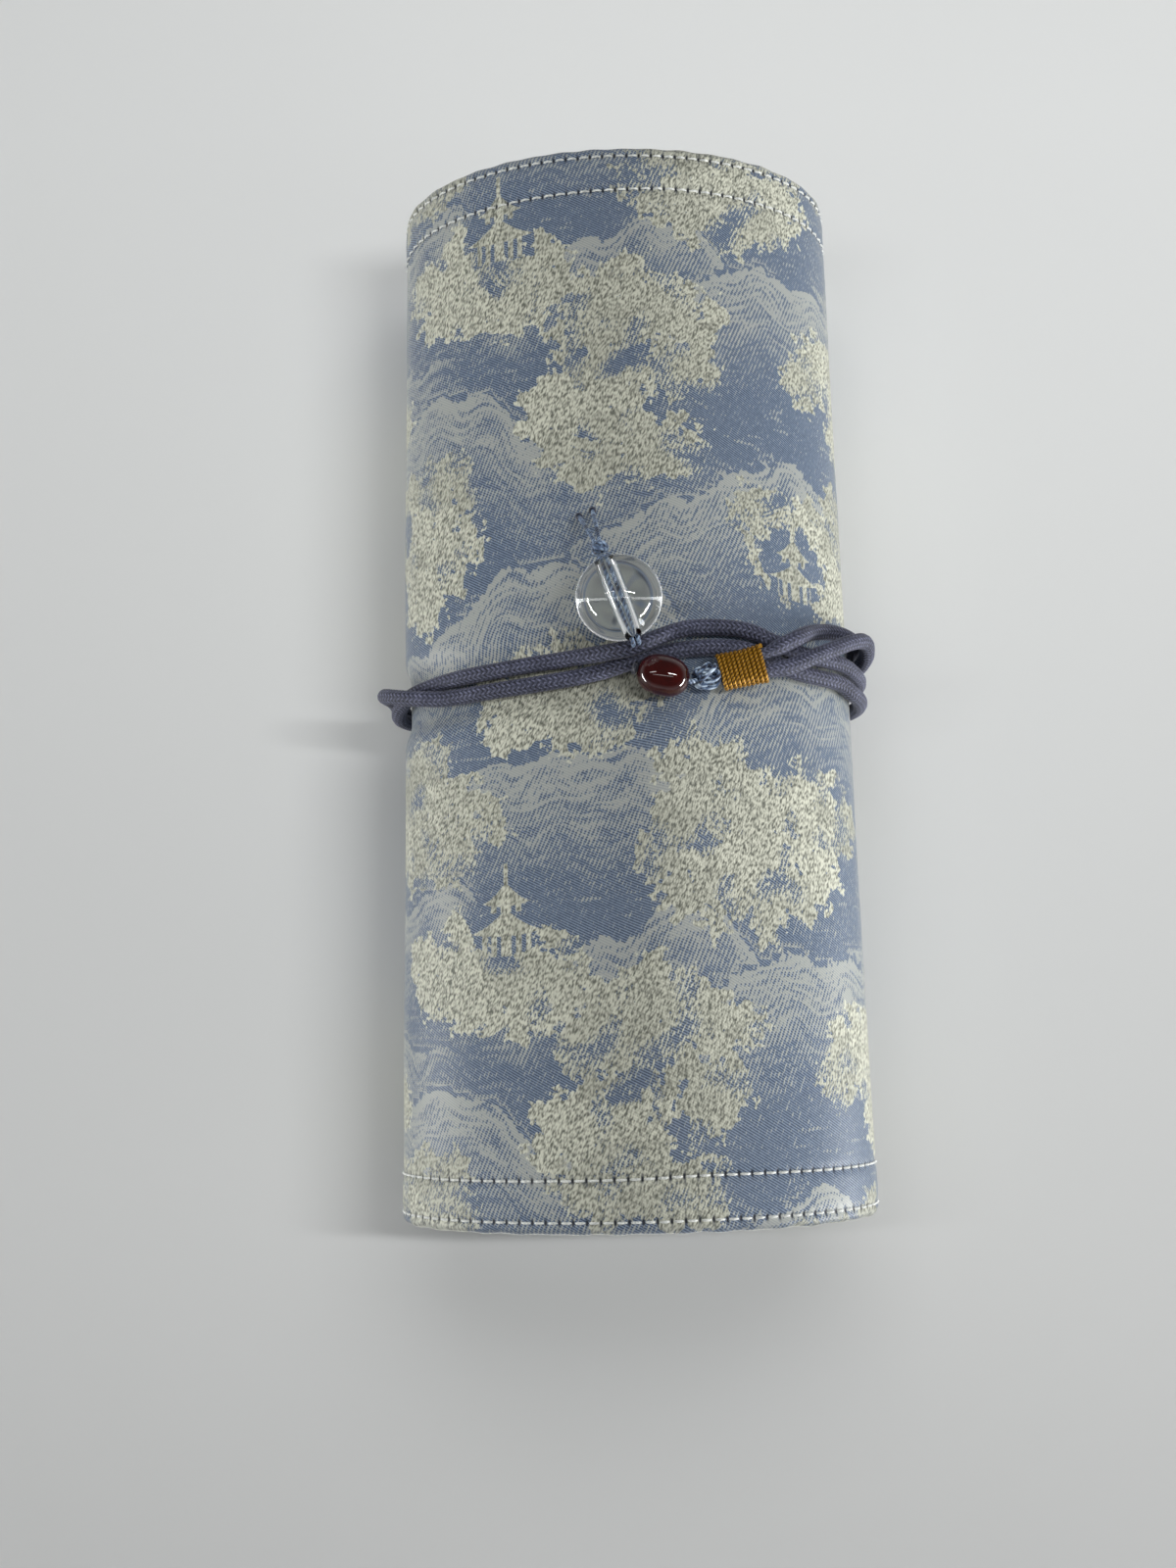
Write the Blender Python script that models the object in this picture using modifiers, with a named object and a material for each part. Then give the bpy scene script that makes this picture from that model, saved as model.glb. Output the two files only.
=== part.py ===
"""Rolled fabric case, tied round with a doubled braided cord.

A padded brocade panel is rolled up along Y and pressed to an oval section. A
braided cord, doubled, starts at the panel's free edge on the underside, runs
once and a third round the roll, and ends on top in a gold whipping. A red bead
hangs on a thread from the whipping, and a crystal ball bead lies beside the
cord on a doubled blue thread.

Metres, +Z up. The origin is under the middle of the roll, on the surface that
it lies on, and the roll's axis runs along Y. Angles go round the roll in
degrees: 0 at +X, 90 at the top, 180 at -X, 270 underneath.
"""
import math

import bmesh
import bpy
from mathutils import Matrix, Vector

# Driving dimensions of the rolled case
ROLL_LENGTH = 0.200
ROLL_HALF_WIDTH = 0.0434
ROLL_HALF_HEIGHT = 0.0265
WIDEST_LEVEL = 0.0240
PANEL_THICKNESS = 0.0032
TURN_GAP = 0.0006
TURNS = 3.6
FREE_EDGE_ANGLE = 288.0
STEP_ANGLE = 60.0
EDGE_ROUNDING = 0.0012

# Driving dimensions of the cord and its whipping
CORD_DIAMETER = 0.0030
CORD_SQUEEZE = 0.80
WHIP_THREAD = 0.0008
WHIP_TURNS = 10

# Driving dimensions of the beads and threads
CRYSTAL_DIAMETER = 0.0150
CRYSTAL_HOLE = 0.0025
BEAD_THREAD = 0.00075
RED_LENGTH = 0.0092
RED_DIAMETER = 0.0072
RED_HOLE = 0.0018
TAIL_THREAD = 0.0010
TAIL_KNOT_LENGTH = 0.0046
TAIL_KNOT_DIAMETER = 0.0044
THREAD_KNOT_DIAMETER = 0.0025

# Gap between neighbours that touch on the real object
CLEARANCE = 0.0004

# The roll's section is drawn with this many steps to a turn
STEPS_PER_TURN = 30
CORD_STEP = 0.0077

TURN_PITCH = PANEL_THICKNESS + TURN_GAP
CORD_LAYER = CORD_DIAMETER + 2 * CLEARANCE

# The dent that the cord presses into the roll: angle, place of its middle along
# Y in millimetres, and its depth in cord layers
DENT = (
    (40, 0.0, 0.00),
    (62, 1.4, 0.05),
    (75, 1.9, 0.40),
    (80, 1.2, 0.44),
    (85, -0.2, 0.44),
    (90, -1.5, 0.44),
    (96, -2.4, 0.44),
    (108, -3.4, 0.44),
    (122, -4.1, 0.44),
    (139, -4.4, 0.46),
    (153, -4.0, 0.38),
    (172, -3.6, 0.30),
    (207, -3.5, 0.32),
    (218, -3.4, 0.46),
    (230, -3.2, 0.76),
    (240, -2.8, 1.00),
    (265, 0.5, 1.00),
    (290, 3.8, 1.00),
    (300, 3.9, 0.75),
    (312, 3.9, 0.45),
    (330, 3.9, 0.15),
    (350, 3.9, 0.00),
)
DENT_SLOPE = 0.0050

# The cord's two strands, from the free edge to the whipping: angle round the
# roll, place along Y in millimetres, and height in cord layers, where 0 lies on
# the undented roll and -1 lies sunk in the dent
FAR_STRAND = (
    (-69.5, -1.5, -1.00),
    (-58, -1.4, -0.87),
    (-45, -1.3, -0.52),
    (-30, -1.3, -0.16),
    (-15, -1.3, 0.00),
    (0, -1.3, 0.00),
    (19, -0.7, 0.00),
    (29, -0.2, 0.00),
    (40, -0.3, 0.00),
    (46, 0.0, 0.00),
    (51, 0.8, 0.00),
    (56, 1.9, 0.00),
    (60, 3.0, -0.03),
    (64, 3.6, -0.10),
    (69, 3.8, -0.19),
    (75, 3.5, -0.15),
    (80, 2.3, 0.16),
    (85, 0.5, 0.47),
    (88, -0.6, 0.54),
    (91, -1.2, 0.50),
    (96, -1.4, 0.18),
    (102, -1.5, -0.22),
    (108, -1.7, -0.41),
    (122, -2.3, -0.44),
    (139, -2.7, -0.46),
    (146, -3.0, -0.42),
    (153, -3.3, -0.37),
    (162, -3.8, -0.32),
    (172, -4.6, -0.25),
    (182, -5.1, -0.20),
    (195, -4.8, -0.25),
    (207, -3.6, -0.31),
    (218, -2.2, -0.45),
    (230, -1.5, -0.75),
    (240, -1.0, -1.00),
    (265, 2.3, -1.00),
    (290, 5.6, -1.00),
    (301, 5.7, -0.92),
    (313, 5.7, -0.68),
    (330, 5.7, -0.20),
    (345, 5.7, 0.00),
    (384, 5.7, 0.00),
    (393, 5.4, 0.00),
    (398, 4.9, 0.08),
    (405, 3.7, 0.42),
    (409, 2.6, 0.75),
    (413.5, 1.0, 1.00),
    (417.3, -0.6, 1.00),
    (420.4, -1.9, 0.92),
    (425, -3.1, 0.56),
    (429.3, -3.6, 0.16),
)
NEAR_STRAND = (
    (-69.5, -5.2, -1.00),
    (-58, -5.1, -0.87),
    (-45, -5.1, -0.52),
    (-30, -5.1, -0.16),
    (-15, -5.1, 0.00),
    (0, -5.2, 0.00),
    (20, -5.0, 0.00),
    (30, -4.0, 0.00),
    (40, -3.9, 0.00),
    (46, -3.7, 0.00),
    (51, -3.0, 0.00),
    (56, -1.8, 0.00),
    (60, -0.7, -0.03),
    (64, 0.0, -0.12),
    (69.5, 0.2, -0.30),
    (75.5, -0.1, -0.40),
    (81, -0.7, -0.44),
    (85, -1.4, -0.44),
    (88.5, -2.1, -0.44),
    (92.5, -3.2, -0.44),
    (96.5, -4.1, -0.44),
    (104.6, -5.1, -0.44),
    (117, -5.8, -0.44),
    (132.6, -6.1, -0.44),
    (139, -6.1, -0.30),
    (146, -5.6, 0.16),
    (153, -4.7, 0.52),
    (162, -3.3, 0.68),
    (172, -2.1, 0.40),
    (182, -1.7, 0.15),
    (195, -2.1, 0.35),
    (207, -3.4, 0.70),
    (218, -4.8, 0.30),
    (230, -5.2, -0.55),
    (240, -4.7, -1.00),
    (265, -1.3, -1.00),
    (290, 2.0, -1.00),
    (301, 2.1, -0.92),
    (313, 2.1, -0.68),
    (330, 2.1, -0.20),
    (345, 2.1, 0.00),
    (360, 2.1, 0.00),
    (368, 2.4, 0.24),
    (375, 3.0, 0.60),
    (384.5, 4.1, 0.95),
    (392, 3.0, 1.00),
    (399, 1.1, 1.00),
    (407.5, -1.5, 1.00),
    (415.3, -4.1, 1.00),
    (420.4, -5.0, 0.92),
    (425, -5.6, 0.56),
    (429.3, -6.2, 0.16),
)
WHIP_START_ANGLE = 420.6
WHIP_END_ANGLE = 429.3

# Middle of each piece that lies on the roll: angle, place along Y in metres,
# and clear height under it
CRYSTAL_PLACE = (91.8, 0.0067, 0.0011)
CRYSTAL_TURN = 19.8
CRYSTAL_TILT = 7.0
RED_PLACE = (82.6, -0.0060, 0.0004)
RED_TURN = -14.0

COLLECTION = "rolled_fabric_case"


def clear_scene():
    """Remove whatever the scene holds."""
    for item in list(bpy.data.objects):
        bpy.data.objects.remove(item, do_unlink=True)


def make_material(name, colour, roughness, metallic=0.0, transmission=0.0):
    """A Principled material with one colour."""
    material = bpy.data.materials.new(name)
    material.use_nodes = True
    shader = material.node_tree.nodes["Principled BSDF"]
    shader.inputs["Base Color"].default_value = (*colour, 1.0)
    shader.inputs["Roughness"].default_value = roughness
    shader.inputs["Metallic"].default_value = metallic
    shader.inputs["Transmission Weight"].default_value = transmission
    return material


def smoothstep(value):
    """0 below 0, 1 above 1, and an even S between them."""
    value = min(max(value, 0.0), 1.0)
    return value * value * (3 - 2 * value)


def smooth_between(rows, angle):
    """The values of a hand-chosen list at an angle, on a smooth curve through its rows."""
    last = len(rows) - 1
    angle = min(max(angle, rows[0][0]), rows[last][0])
    at = 0
    while at < last - 1 and rows[at + 1][0] < angle:
        at += 1
    low, high = rows[at], rows[at + 1]
    span = high[0] - low[0]
    t = (angle - low[0]) / span
    values = []
    for column in range(1, len(low)):
        rise = (high[column] - low[column]) / span
        slope_in, slope_out = rise, rise
        if at > 0:
            slope_in = slope_at(rows, at, column)
        if at + 1 < last:
            slope_out = slope_at(rows, at + 1, column)
        values.append(
            (2 * t**3 - 3 * t**2 + 1) * low[column]
            + (t**3 - 2 * t**2 + t) * span * slope_in
            + (3 * t**2 - 2 * t**3) * high[column]
            + (t**3 - t**2) * span * slope_out
        )
    return values


def slope_at(rows, at, column):
    """Slope of the smooth curve at one row, which is flat where the values turn back."""
    before = (rows[at][column] - rows[at - 1][column]) / (rows[at][0] - rows[at - 1][0])
    after = (rows[at + 1][column] - rows[at][column]) / (rows[at + 1][0] - rows[at][0])
    if before * after <= 0:
        return 0.0
    return 2 * before * after / (before + after)


def dent_middle(angle):
    """Place along Y of the dent's middle at an angle."""
    return smooth_between(DENT, angle % 360)[0] * 0.001


def dent_depth(angle, y):
    """How far the cord presses the roll in at an angle and a place along Y."""
    middle, layers = smooth_between(DENT, angle % 360)
    past_floor = abs(y - middle * 0.001) - CORD_LAYER
    return layers * CORD_LAYER * (1 - smoothstep(past_floor / DENT_SLOPE))


def roll_point(angle, y, inward):
    """A point at an angle round the roll, this far inside its plain outer face."""
    turned = math.radians(angle)
    x = (ROLL_HALF_WIDTH - inward) * math.cos(turned)
    z = WIDEST_LEVEL + (ROLL_HALF_HEIGHT - inward) * math.sin(turned)
    return Vector((x, y, max(z, inward)))


def roll_frame(angle, y, height):
    """A place above the roll, with X round it, Y along it and Z straight out of it."""
    turned = math.radians(angle)
    out = Vector((math.cos(turned) / ROLL_HALF_WIDTH, 0, math.sin(turned) / ROLL_HALF_HEIGHT))
    out.normalize()
    along = Vector((0, 1, 0))
    across = along.cross(out)
    frame = Matrix((across, along, out)).transposed().to_4x4()
    frame.translation = roll_point(angle, y, 0) + out * height
    return frame


def turn_inward(turn):
    """How far inside the plain outer face the panel's outer side lies after some turns."""
    whole = math.floor(turn)
    step_share = STEP_ANGLE / 360
    step = smoothstep((turn - whole - 1 + step_share) / step_share)
    return TURN_PITCH * (whole + step)


def panel_length():
    """Length of the panel laid flat, measured along its outer side."""
    length = 0.0
    before = roll_point(FREE_EDGE_ANGLE, 0, 0)
    steps = round(TURNS * STEPS_PER_TURN)
    for step in range(1, steps + 1):
        turn = step / STEPS_PER_TURN
        here = roll_point(FREE_EDGE_ANGLE - 360 * turn, 0, turn_inward(turn))
        length += (here - before).length
        before = here
    return length


def add_object(name, data, material, place=None):
    """Put a mesh or curve in the collection, with its material and place."""
    data.materials.append(material)
    item = bpy.data.objects.new(name, data)
    bpy.data.collections[COLLECTION].objects.link(item)
    if place is not None:
        item.matrix_world = place
    return item


def flat_panel(length):
    """The padded panel laid flat, outer side up, with rounded folded edges."""
    half = ROLL_LENGTH / 2
    floor = CORD_LAYER
    foot = CORD_LAYER + DENT_SLOPE
    offsets = [floor + (foot - floor) * share / 3 for share in range(4)]
    lines = [-half, *(-offset for offset in reversed(offsets)), *offsets, half]
    steps = round(TURNS * STEPS_PER_TURN)
    mesh = bmesh.new()
    bmesh.ops.create_grid(mesh, x_segments=steps, y_segments=len(lines) - 1, size=0.5)
    for vertex in mesh.verts:
        line = round((vertex.co.y + 0.5) * (len(lines) - 1))
        vertex.co = ((vertex.co.x + 0.5) * length, lines[line], 0)
    under = bmesh.ops.extrude_face_region(mesh, geom=mesh.faces[:])["geom"]
    for part in under:
        if isinstance(part, bmesh.types.BMVert):
            part.co.z -= PANEL_THICKNESS
    bmesh.ops.recalc_face_normals(mesh, faces=mesh.faces)
    rim = [edge for edge in mesh.edges if edge.calc_face_angle() > 1]
    bmesh.ops.bevel(mesh, geom=rim, offset=EDGE_ROUNDING, segments=2, profile=0.5, affect="EDGES")
    return mesh


def rolled_case(material):
    """The panel, rolled up from its inner end to the free edge underneath."""
    length = panel_length()
    mesh = flat_panel(length)
    half = ROLL_LENGTH / 2
    foot = CORD_LAYER + DENT_SLOPE
    for vertex in mesh.verts:
        turn = vertex.co.x / length * TURNS
        angle = FREE_EDGE_ANGLE - 360 * turn
        follow = min(1.0, (half - abs(vertex.co.y)) / (half - foot))
        y = vertex.co.y + dent_middle(angle) * follow
        inward = turn_inward(turn) - vertex.co.z + dent_depth(angle, y)
        vertex.co = roll_point(angle, y, inward)
    bmesh.ops.recalc_face_normals(mesh, faces=mesh.faces)
    data = bpy.data.meshes.new("rolled_case")
    mesh.to_mesh(data)
    mesh.free()
    data.shade_smooth()
    data.set_sharp_from_angle(angle=math.radians(40))
    return add_object("rolled_case", data, material)


def strand_point(strand, angle):
    """Middle of a strand of the cord at an angle."""
    y, layers = smooth_between(strand, angle)
    lift = CORD_LAYER * (layers + 0.5)
    return roll_point(angle, y * 0.001, -lift)


def even_points(points, spacing):
    """Points an even distance apart along a line of close points."""
    reached = [0.0]
    for before, here in zip(points, points[1:]):
        reached.append(reached[-1] + (here - before).length)
    count = max(2, round(reached[-1] / spacing))
    spaced = []
    at = 0
    for step in range(count + 1):
        goal = reached[-1] * step / count
        while at < len(points) - 2 and reached[at + 1] < goal:
            at += 1
        share = (goal - reached[at]) / (reached[at + 1] - reached[at])
        spaced.append(points[at].lerp(points[at + 1], share))
    return spaced


def tube(name, points, radii, material):
    """A round cord or thread through the points, with a radius at each."""
    data = bpy.data.curves.new(name, "CURVE")
    data.dimensions = "3D"
    data.bevel_depth = 1.0
    data.bevel_resolution = 2
    data.use_fill_caps = True
    data.twist_mode = "MINIMUM"
    spline = data.splines.new("POLY")
    spline.points.add(len(points) - 1)
    for point, place, radius in zip(spline.points, points, radii):
        point.co = (*place, 1)
        point.radius = radius
    return add_object(name, data, material)


def wrap_cord(name, strand, material):
    """One strand of the cord, squeezed where the whipping binds it."""
    steps = round((strand[-1][0] - strand[0][0]) * 2)
    angles = [strand[0][0] + (strand[-1][0] - strand[0][0]) * n / steps for n in range(steps + 1)]
    points = even_points([strand_point(strand, angle) for angle in angles], CORD_STEP)
    whip = strand_point(strand, WHIP_START_ANGLE)
    bound = (whip - points[-1]).length
    radii = []
    for point in points:
        past_whip = (point - points[-1]).length - bound - CORD_STEP
        freed = smoothstep(past_whip / CORD_STEP)
        radii.append(CORD_DIAMETER / 2 * (CORD_SQUEEZE + (1 - CORD_SQUEEZE) * freed))
    return tube(name, points, radii, material)


def whip_middle(share):
    """A point on the whipping's middle line, and the way from one strand to the other."""
    angle = WHIP_START_ANGLE + (WHIP_END_ANGLE - WHIP_START_ANGLE) * share
    far = strand_point(FAR_STRAND, angle)
    near = strand_point(NEAR_STRAND, angle)
    return (far + near) / 2, far - near


def cord_whipping(material):
    """A thread wound closely round both ends of the cord."""
    start, _ = whip_middle(0)
    end, _ = whip_middle(1)
    along = (end - start).normalized()
    reach = CORD_DIAMETER / 2 * CORD_SQUEEZE + 1.5 * CLEARANCE + WHIP_THREAD / 2
    points = []
    steps_round = 12
    for step in range(WHIP_TURNS * steps_round + 1):
        turned = 2 * math.pi * step / steps_round
        middle, between = whip_middle(step / (WHIP_TURNS * steps_round))
        side = (between - along * between.dot(along)).normalized()
        up = along.cross(side)
        corner = between.length / 2 * max(-1.0, min(1.0, 1.6 * math.cos(turned)))
        across = corner + reach * math.cos(turned)
        points.append(middle + side * across + up * reach * math.sin(turned))
    return tube("cord_whipping", points, [WHIP_THREAD / 2] * len(points), material)


def turned_piece(name, profile, steps, material, place):
    """A piece turned about its own Z from a closed profile of (radius, height) points."""
    data = bpy.data.meshes.new(name)
    points = [(radius, 0, height) for radius, height in profile]
    edges = [(n, (n + 1) % len(points)) for n in range(len(points))]
    data.from_pydata(points, edges, [])
    item = add_object(name, data, material, place)
    screw = item.modifiers.new("Turn", "SCREW")
    screw.steps = steps
    screw.render_steps = steps
    screw.use_merge_vertices = True
    screw.merge_threshold = 0.00001
    screw.use_smooth_shade = True
    return item


def bored_oval(length, diameter, hole, fullness, points):
    """Profile of a bead with a hole, from its top down the outer side and back up the hole."""
    radius = diameter / 2
    end = math.acos(min(1.0, (hole / 2 / radius) ** (fullness / 2)))
    profile = []
    for step in range(points + 1):
        turned = end - 2 * end * step / points
        across = radius * math.cos(turned) ** (2 / fullness)
        height = abs(math.sin(turned)) ** (2 / fullness) * length / 2
        profile.append((across, math.copysign(height, turned)))
    return profile


def crystal_frame():
    """Place of the crystal bead, with Z along its hole, away from the cord."""
    angle, y, under = CRYSTAL_PLACE
    frame = roll_frame(angle, y, CRYSTAL_DIAMETER / 2 + under)
    turn = Matrix.Rotation(math.radians(CRYSTAL_TURN), 4, "Z")
    lay = Matrix.Rotation(math.radians(CRYSTAL_TILT - 90), 4, "X")
    return frame @ turn @ lay


def crystal_bead(material):
    """A clear ball with a straight hole."""
    profile = bored_oval(CRYSTAL_DIAMETER, CRYSTAL_DIAMETER, CRYSTAL_HOLE, 2.0, 14)
    return turned_piece("crystal_bead", profile, 28, material, crystal_frame())


def bead_threads(material):
    """The two strands of thread in the crystal's hole, from the knot down to the cord."""
    frame = crystal_frame()
    knot_side = CRYSTAL_DIAMETER / 2 + CLEARANCE
    mouth = -CRYSTAL_DIAMETER / 2
    offset = (BEAD_THREAD + 0.75 * CLEARANCE) / 2
    for name, side in (("bead_thread_left", -1), ("bead_thread_right", 1)):
        across = side * offset
        local = [
            Vector((across, 0, knot_side)),
            Vector((across, 0, 0)),
            Vector((across, 0, mouth)),
            Vector((across, 0.0004, mouth - 0.0006)),
            Vector((across, 0.0011, mouth - 0.0010)),
        ]
        points = [frame @ point for point in local]
        tube(name, points, [BEAD_THREAD / 2] * len(points), material)


def thread_knot(material):
    """The stop knot at the crystal's far end."""
    frame = crystal_frame()
    radius = THREAD_KNOT_DIAMETER / 2
    height = CRYSTAL_DIAMETER / 2 + 2 * CLEARANCE + radius
    mesh = bmesh.new()
    bmesh.ops.create_uvsphere(mesh, u_segments=12, v_segments=8, radius=radius)
    data = bpy.data.meshes.new("thread_knot")
    mesh.to_mesh(data)
    mesh.free()
    data.shade_smooth()
    return add_object("thread_knot", data, material, frame @ Matrix.Translation((0, 0, height)))


def thread_tails(material):
    """The thread's two short ends beyond the knot, with melted tips, down on the roll."""
    frame = crystal_frame()
    height = CRYSTAL_DIAMETER / 2 + 2 * CLEARANCE + THREAD_KNOT_DIAMETER / 2
    tip_radius = BEAD_THREAD * 0.95
    for name, side, tip_angle, tip_y in (
        ("thread_tail_left", -1, 101.0, 0.0252),
        ("thread_tail_right", 1, 97.6, 0.0262),
    ):
        knot = frame @ Vector((side * (BEAD_THREAD + CLEARANCE) / 2, 0, height))
        tip = roll_frame(tip_angle, tip_y, tip_radius + CLEARANCE).translation
        start = knot + (tip - knot).normalized() * (THREAD_KNOT_DIAMETER / 2 + CLEARANCE)
        middle = start.lerp(tip, 0.5) + Vector((0, 0, 0.0006))
        last = middle.lerp(tip, 0.8)
        radii = [BEAD_THREAD / 2, BEAD_THREAD / 2, BEAD_THREAD / 2, tip_radius, tip_radius * 0.6]
        points = [start, middle, last, last.lerp(tip, 0.5), tip]
        tube(name, points, radii, material)


def red_frame():
    """Place of the red bead, with Z along its hole, away from the whipping."""
    angle, y, under = RED_PLACE
    frame = roll_frame(angle, y, RED_DIAMETER / 2 + under)
    turn = Matrix.Rotation(math.radians(RED_TURN), 4, "Z")
    lay = Matrix.Rotation(math.radians(-90), 4, "Y")
    return frame @ turn @ lay


def red_bead(material):
    """A dark red oval bead with a hole along its length."""
    profile = bored_oval(RED_LENGTH, RED_DIAMETER, RED_HOLE, 2.3, 12)
    return turned_piece("red_bead", profile, 24, material, red_frame())


def tail_knot_frame():
    """Place of the blue knot between the whipping and the red bead."""
    whip_end, _ = whip_middle(1)
    bead_end = red_frame() @ Vector((0, 0, -RED_LENGTH / 2))
    along = (bead_end - whip_end).normalized()
    frame = along.to_track_quat("Z", "Y").to_matrix().to_4x4()
    frame.translation = (bead_end + whip_end) / 2
    return frame


def tail_knot(material):
    """The wound blue knot, a barrel with a groove between each wrap."""
    wraps = 4
    points_each = 4
    radius = TAIL_KNOT_DIAMETER / 2
    hole = TAIL_THREAD / 2 + CLEARANCE
    half = TAIL_KNOT_LENGTH / 2
    profile = [(hole, half)]
    for step in range(wraps * points_each + 1):
        share = step / (wraps * points_each)
        belly = 0.72 + 0.28 * math.sin(math.pi * share)
        ridge = 1 - 0.14 * abs(math.cos(math.pi * share * wraps))
        profile.append((radius * belly * ridge, half - 2 * half * share))
    profile.append((hole, -half))
    return turned_piece("tail_knot", profile, 16, material, tail_knot_frame())


def tail_thread(material):
    """The thread from the whipping through the blue knot and the red bead to its stop knot."""
    knot = tail_knot_frame()
    bead = red_frame()
    stop_radius = RED_HOLE / 2 + 0.0003
    start = knot @ Vector((0, 0, -TAIL_KNOT_LENGTH / 2 - CLEARANCE))
    far = RED_LENGTH / 2
    points = [
        start,
        knot @ Vector((0, 0, TAIL_KNOT_LENGTH / 2)),
        bead @ Vector((0, 0, -far)),
        bead @ Vector((0, 0, far)),
        bead @ Vector((0, 0, far + CLEARANCE)),
        bead @ Vector((0, 0, far + CLEARANCE + 0.0002)),
        bead @ Vector((0, 0, far + CLEARANCE + 0.0010)),
        bead @ Vector((0, 0, far + CLEARANCE + 0.0014)),
    ]
    thin = TAIL_THREAD / 2
    radii = [thin, thin, thin, thin, thin, stop_radius, stop_radius, stop_radius * 0.5]
    return tube("tail_thread", points, radii, material)


def build():
    """Make every piece."""
    clear_scene()
    bpy.context.scene.collection.children.link(bpy.data.collections.new(COLLECTION))
    brocade = make_material("brocade", (0.33, 0.37, 0.40), 0.75)
    braid = make_material("braid", (0.095, 0.095, 0.135), 0.80)
    gold = make_material("gold_thread", (0.30, 0.15, 0.012), 0.50)
    blue = make_material("blue_thread", (0.20, 0.29, 0.42), 0.60)
    crystal = make_material("crystal", (0.95, 0.97, 0.97), 0.02, transmission=1.0)
    carnelian = make_material("carnelian", (0.070, 0.004, 0.003), 0.08)
    rolled_case(brocade)
    wrap_cord("wrap_cord_far", FAR_STRAND, braid)
    wrap_cord("wrap_cord_near", NEAR_STRAND, braid)
    cord_whipping(gold)
    crystal_bead(crystal)
    bead_threads(blue)
    thread_knot(blue)
    thread_tails(blue)
    red_bead(carnelian)
    tail_knot(blue)
    tail_thread(blue)


build()
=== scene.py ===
"""Looks of the rolled fabric case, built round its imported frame.

Metres, +Z up. The roll lies along Y with its origin under its middle. Angles go
round the roll in degrees: 0 at +X, 90 at the top, 180 at -X, 270 underneath.
Every surface is a grid of points worked out from two parameters.
"""
import math

import bpy
import numpy as np
from mathutils import Matrix, Vector


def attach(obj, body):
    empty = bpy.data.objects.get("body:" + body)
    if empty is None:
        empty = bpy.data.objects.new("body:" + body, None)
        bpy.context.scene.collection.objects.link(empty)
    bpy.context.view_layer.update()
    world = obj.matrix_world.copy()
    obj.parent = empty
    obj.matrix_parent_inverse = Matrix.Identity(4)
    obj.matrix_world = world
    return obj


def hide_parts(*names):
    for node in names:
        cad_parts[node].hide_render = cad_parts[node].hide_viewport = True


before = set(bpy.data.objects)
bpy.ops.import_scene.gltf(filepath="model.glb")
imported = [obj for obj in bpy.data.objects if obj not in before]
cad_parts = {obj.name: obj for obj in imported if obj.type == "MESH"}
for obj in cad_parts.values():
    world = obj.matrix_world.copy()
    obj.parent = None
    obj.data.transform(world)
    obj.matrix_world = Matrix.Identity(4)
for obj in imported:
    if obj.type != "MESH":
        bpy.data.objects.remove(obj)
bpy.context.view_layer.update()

MM = 0.001

# Sizes of the rolled case
ROLL_LENGTH = 0.200
ROLL_HALF_WIDTH = 0.0434
ROLL_HALF_HEIGHT = 0.0265
WIDEST_LEVEL = 0.0240
PANEL_THICKNESS = 0.0032
TURN_PITCH = 0.0038
TURNS = 3.6
FREE_EDGE_ANGLE = 288.0
STEP_SHARE = 60 / 360
CLEARANCE = 0.0004
HALF_LENGTH = ROLL_LENGTH / 2
FOLD = PANEL_THICKNESS / 2

# Sizes of the cord, its whipping, the beads and the threads
CORD_DIAMETER = 0.0030
CORD_LAYER = 0.0038
CORD_SQUEEZE = 0.80
WHIP_THREAD = 0.0008
WHIP_TURNS = 10
CRYSTAL_DIAMETER = 0.0150
CRYSTAL_HOLE = 0.0025
BEAD_THREAD = 0.00075
THREAD_KNOT_DIAMETER = 0.0025
RED_LENGTH = 0.0092
RED_DIAMETER = 0.0072
RED_HOLE = 0.0018
TAIL_THREAD = 0.0009
TAIL_KNOT_LENGTH = 0.0046
TAIL_KNOT_THREAD = 0.00076
PLY_PITCH = 0.0013
THREAD_AROUND = 12
THREAD_STEP = 0.00012

# Seams of the two hems, from each end of the roll
SEAM_DISTANCES = (0.0022, 0.0092)
STITCH_PITCH = 0.00235
STITCH_THREAD = 0.00044
FACING_DEPTH = 0.0108

# The dent that the cord presses in: angle, middle along Y in mm, depth in layers
DENT = (
    (40, 0, 0), (62, 1.4, 0.05), (75, 1.9, 0.4), (80, 1.2, 0.44), (85, -0.2, 0.44),
    (90, -1.5, 0.44), (96, -2.4, 0.44), (108, -3.4, 0.44), (122, -4.1, 0.44),
    (139, -4.4, 0.46), (153, -4, 0.38), (172, -3.6, 0.3), (207, -3.5, 0.32),
    (218, -3.4, 0.46), (230, -3.2, 0.76), (240, -2.8, 1), (265, 0.5, 1), (290, 3.8, 1),
    (300, 3.9, 0.75), (312, 3.9, 0.45), (330, 3.9, 0.15), (350, 3.9, 0),
)
DENT_SLOPE = 0.0050

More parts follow.
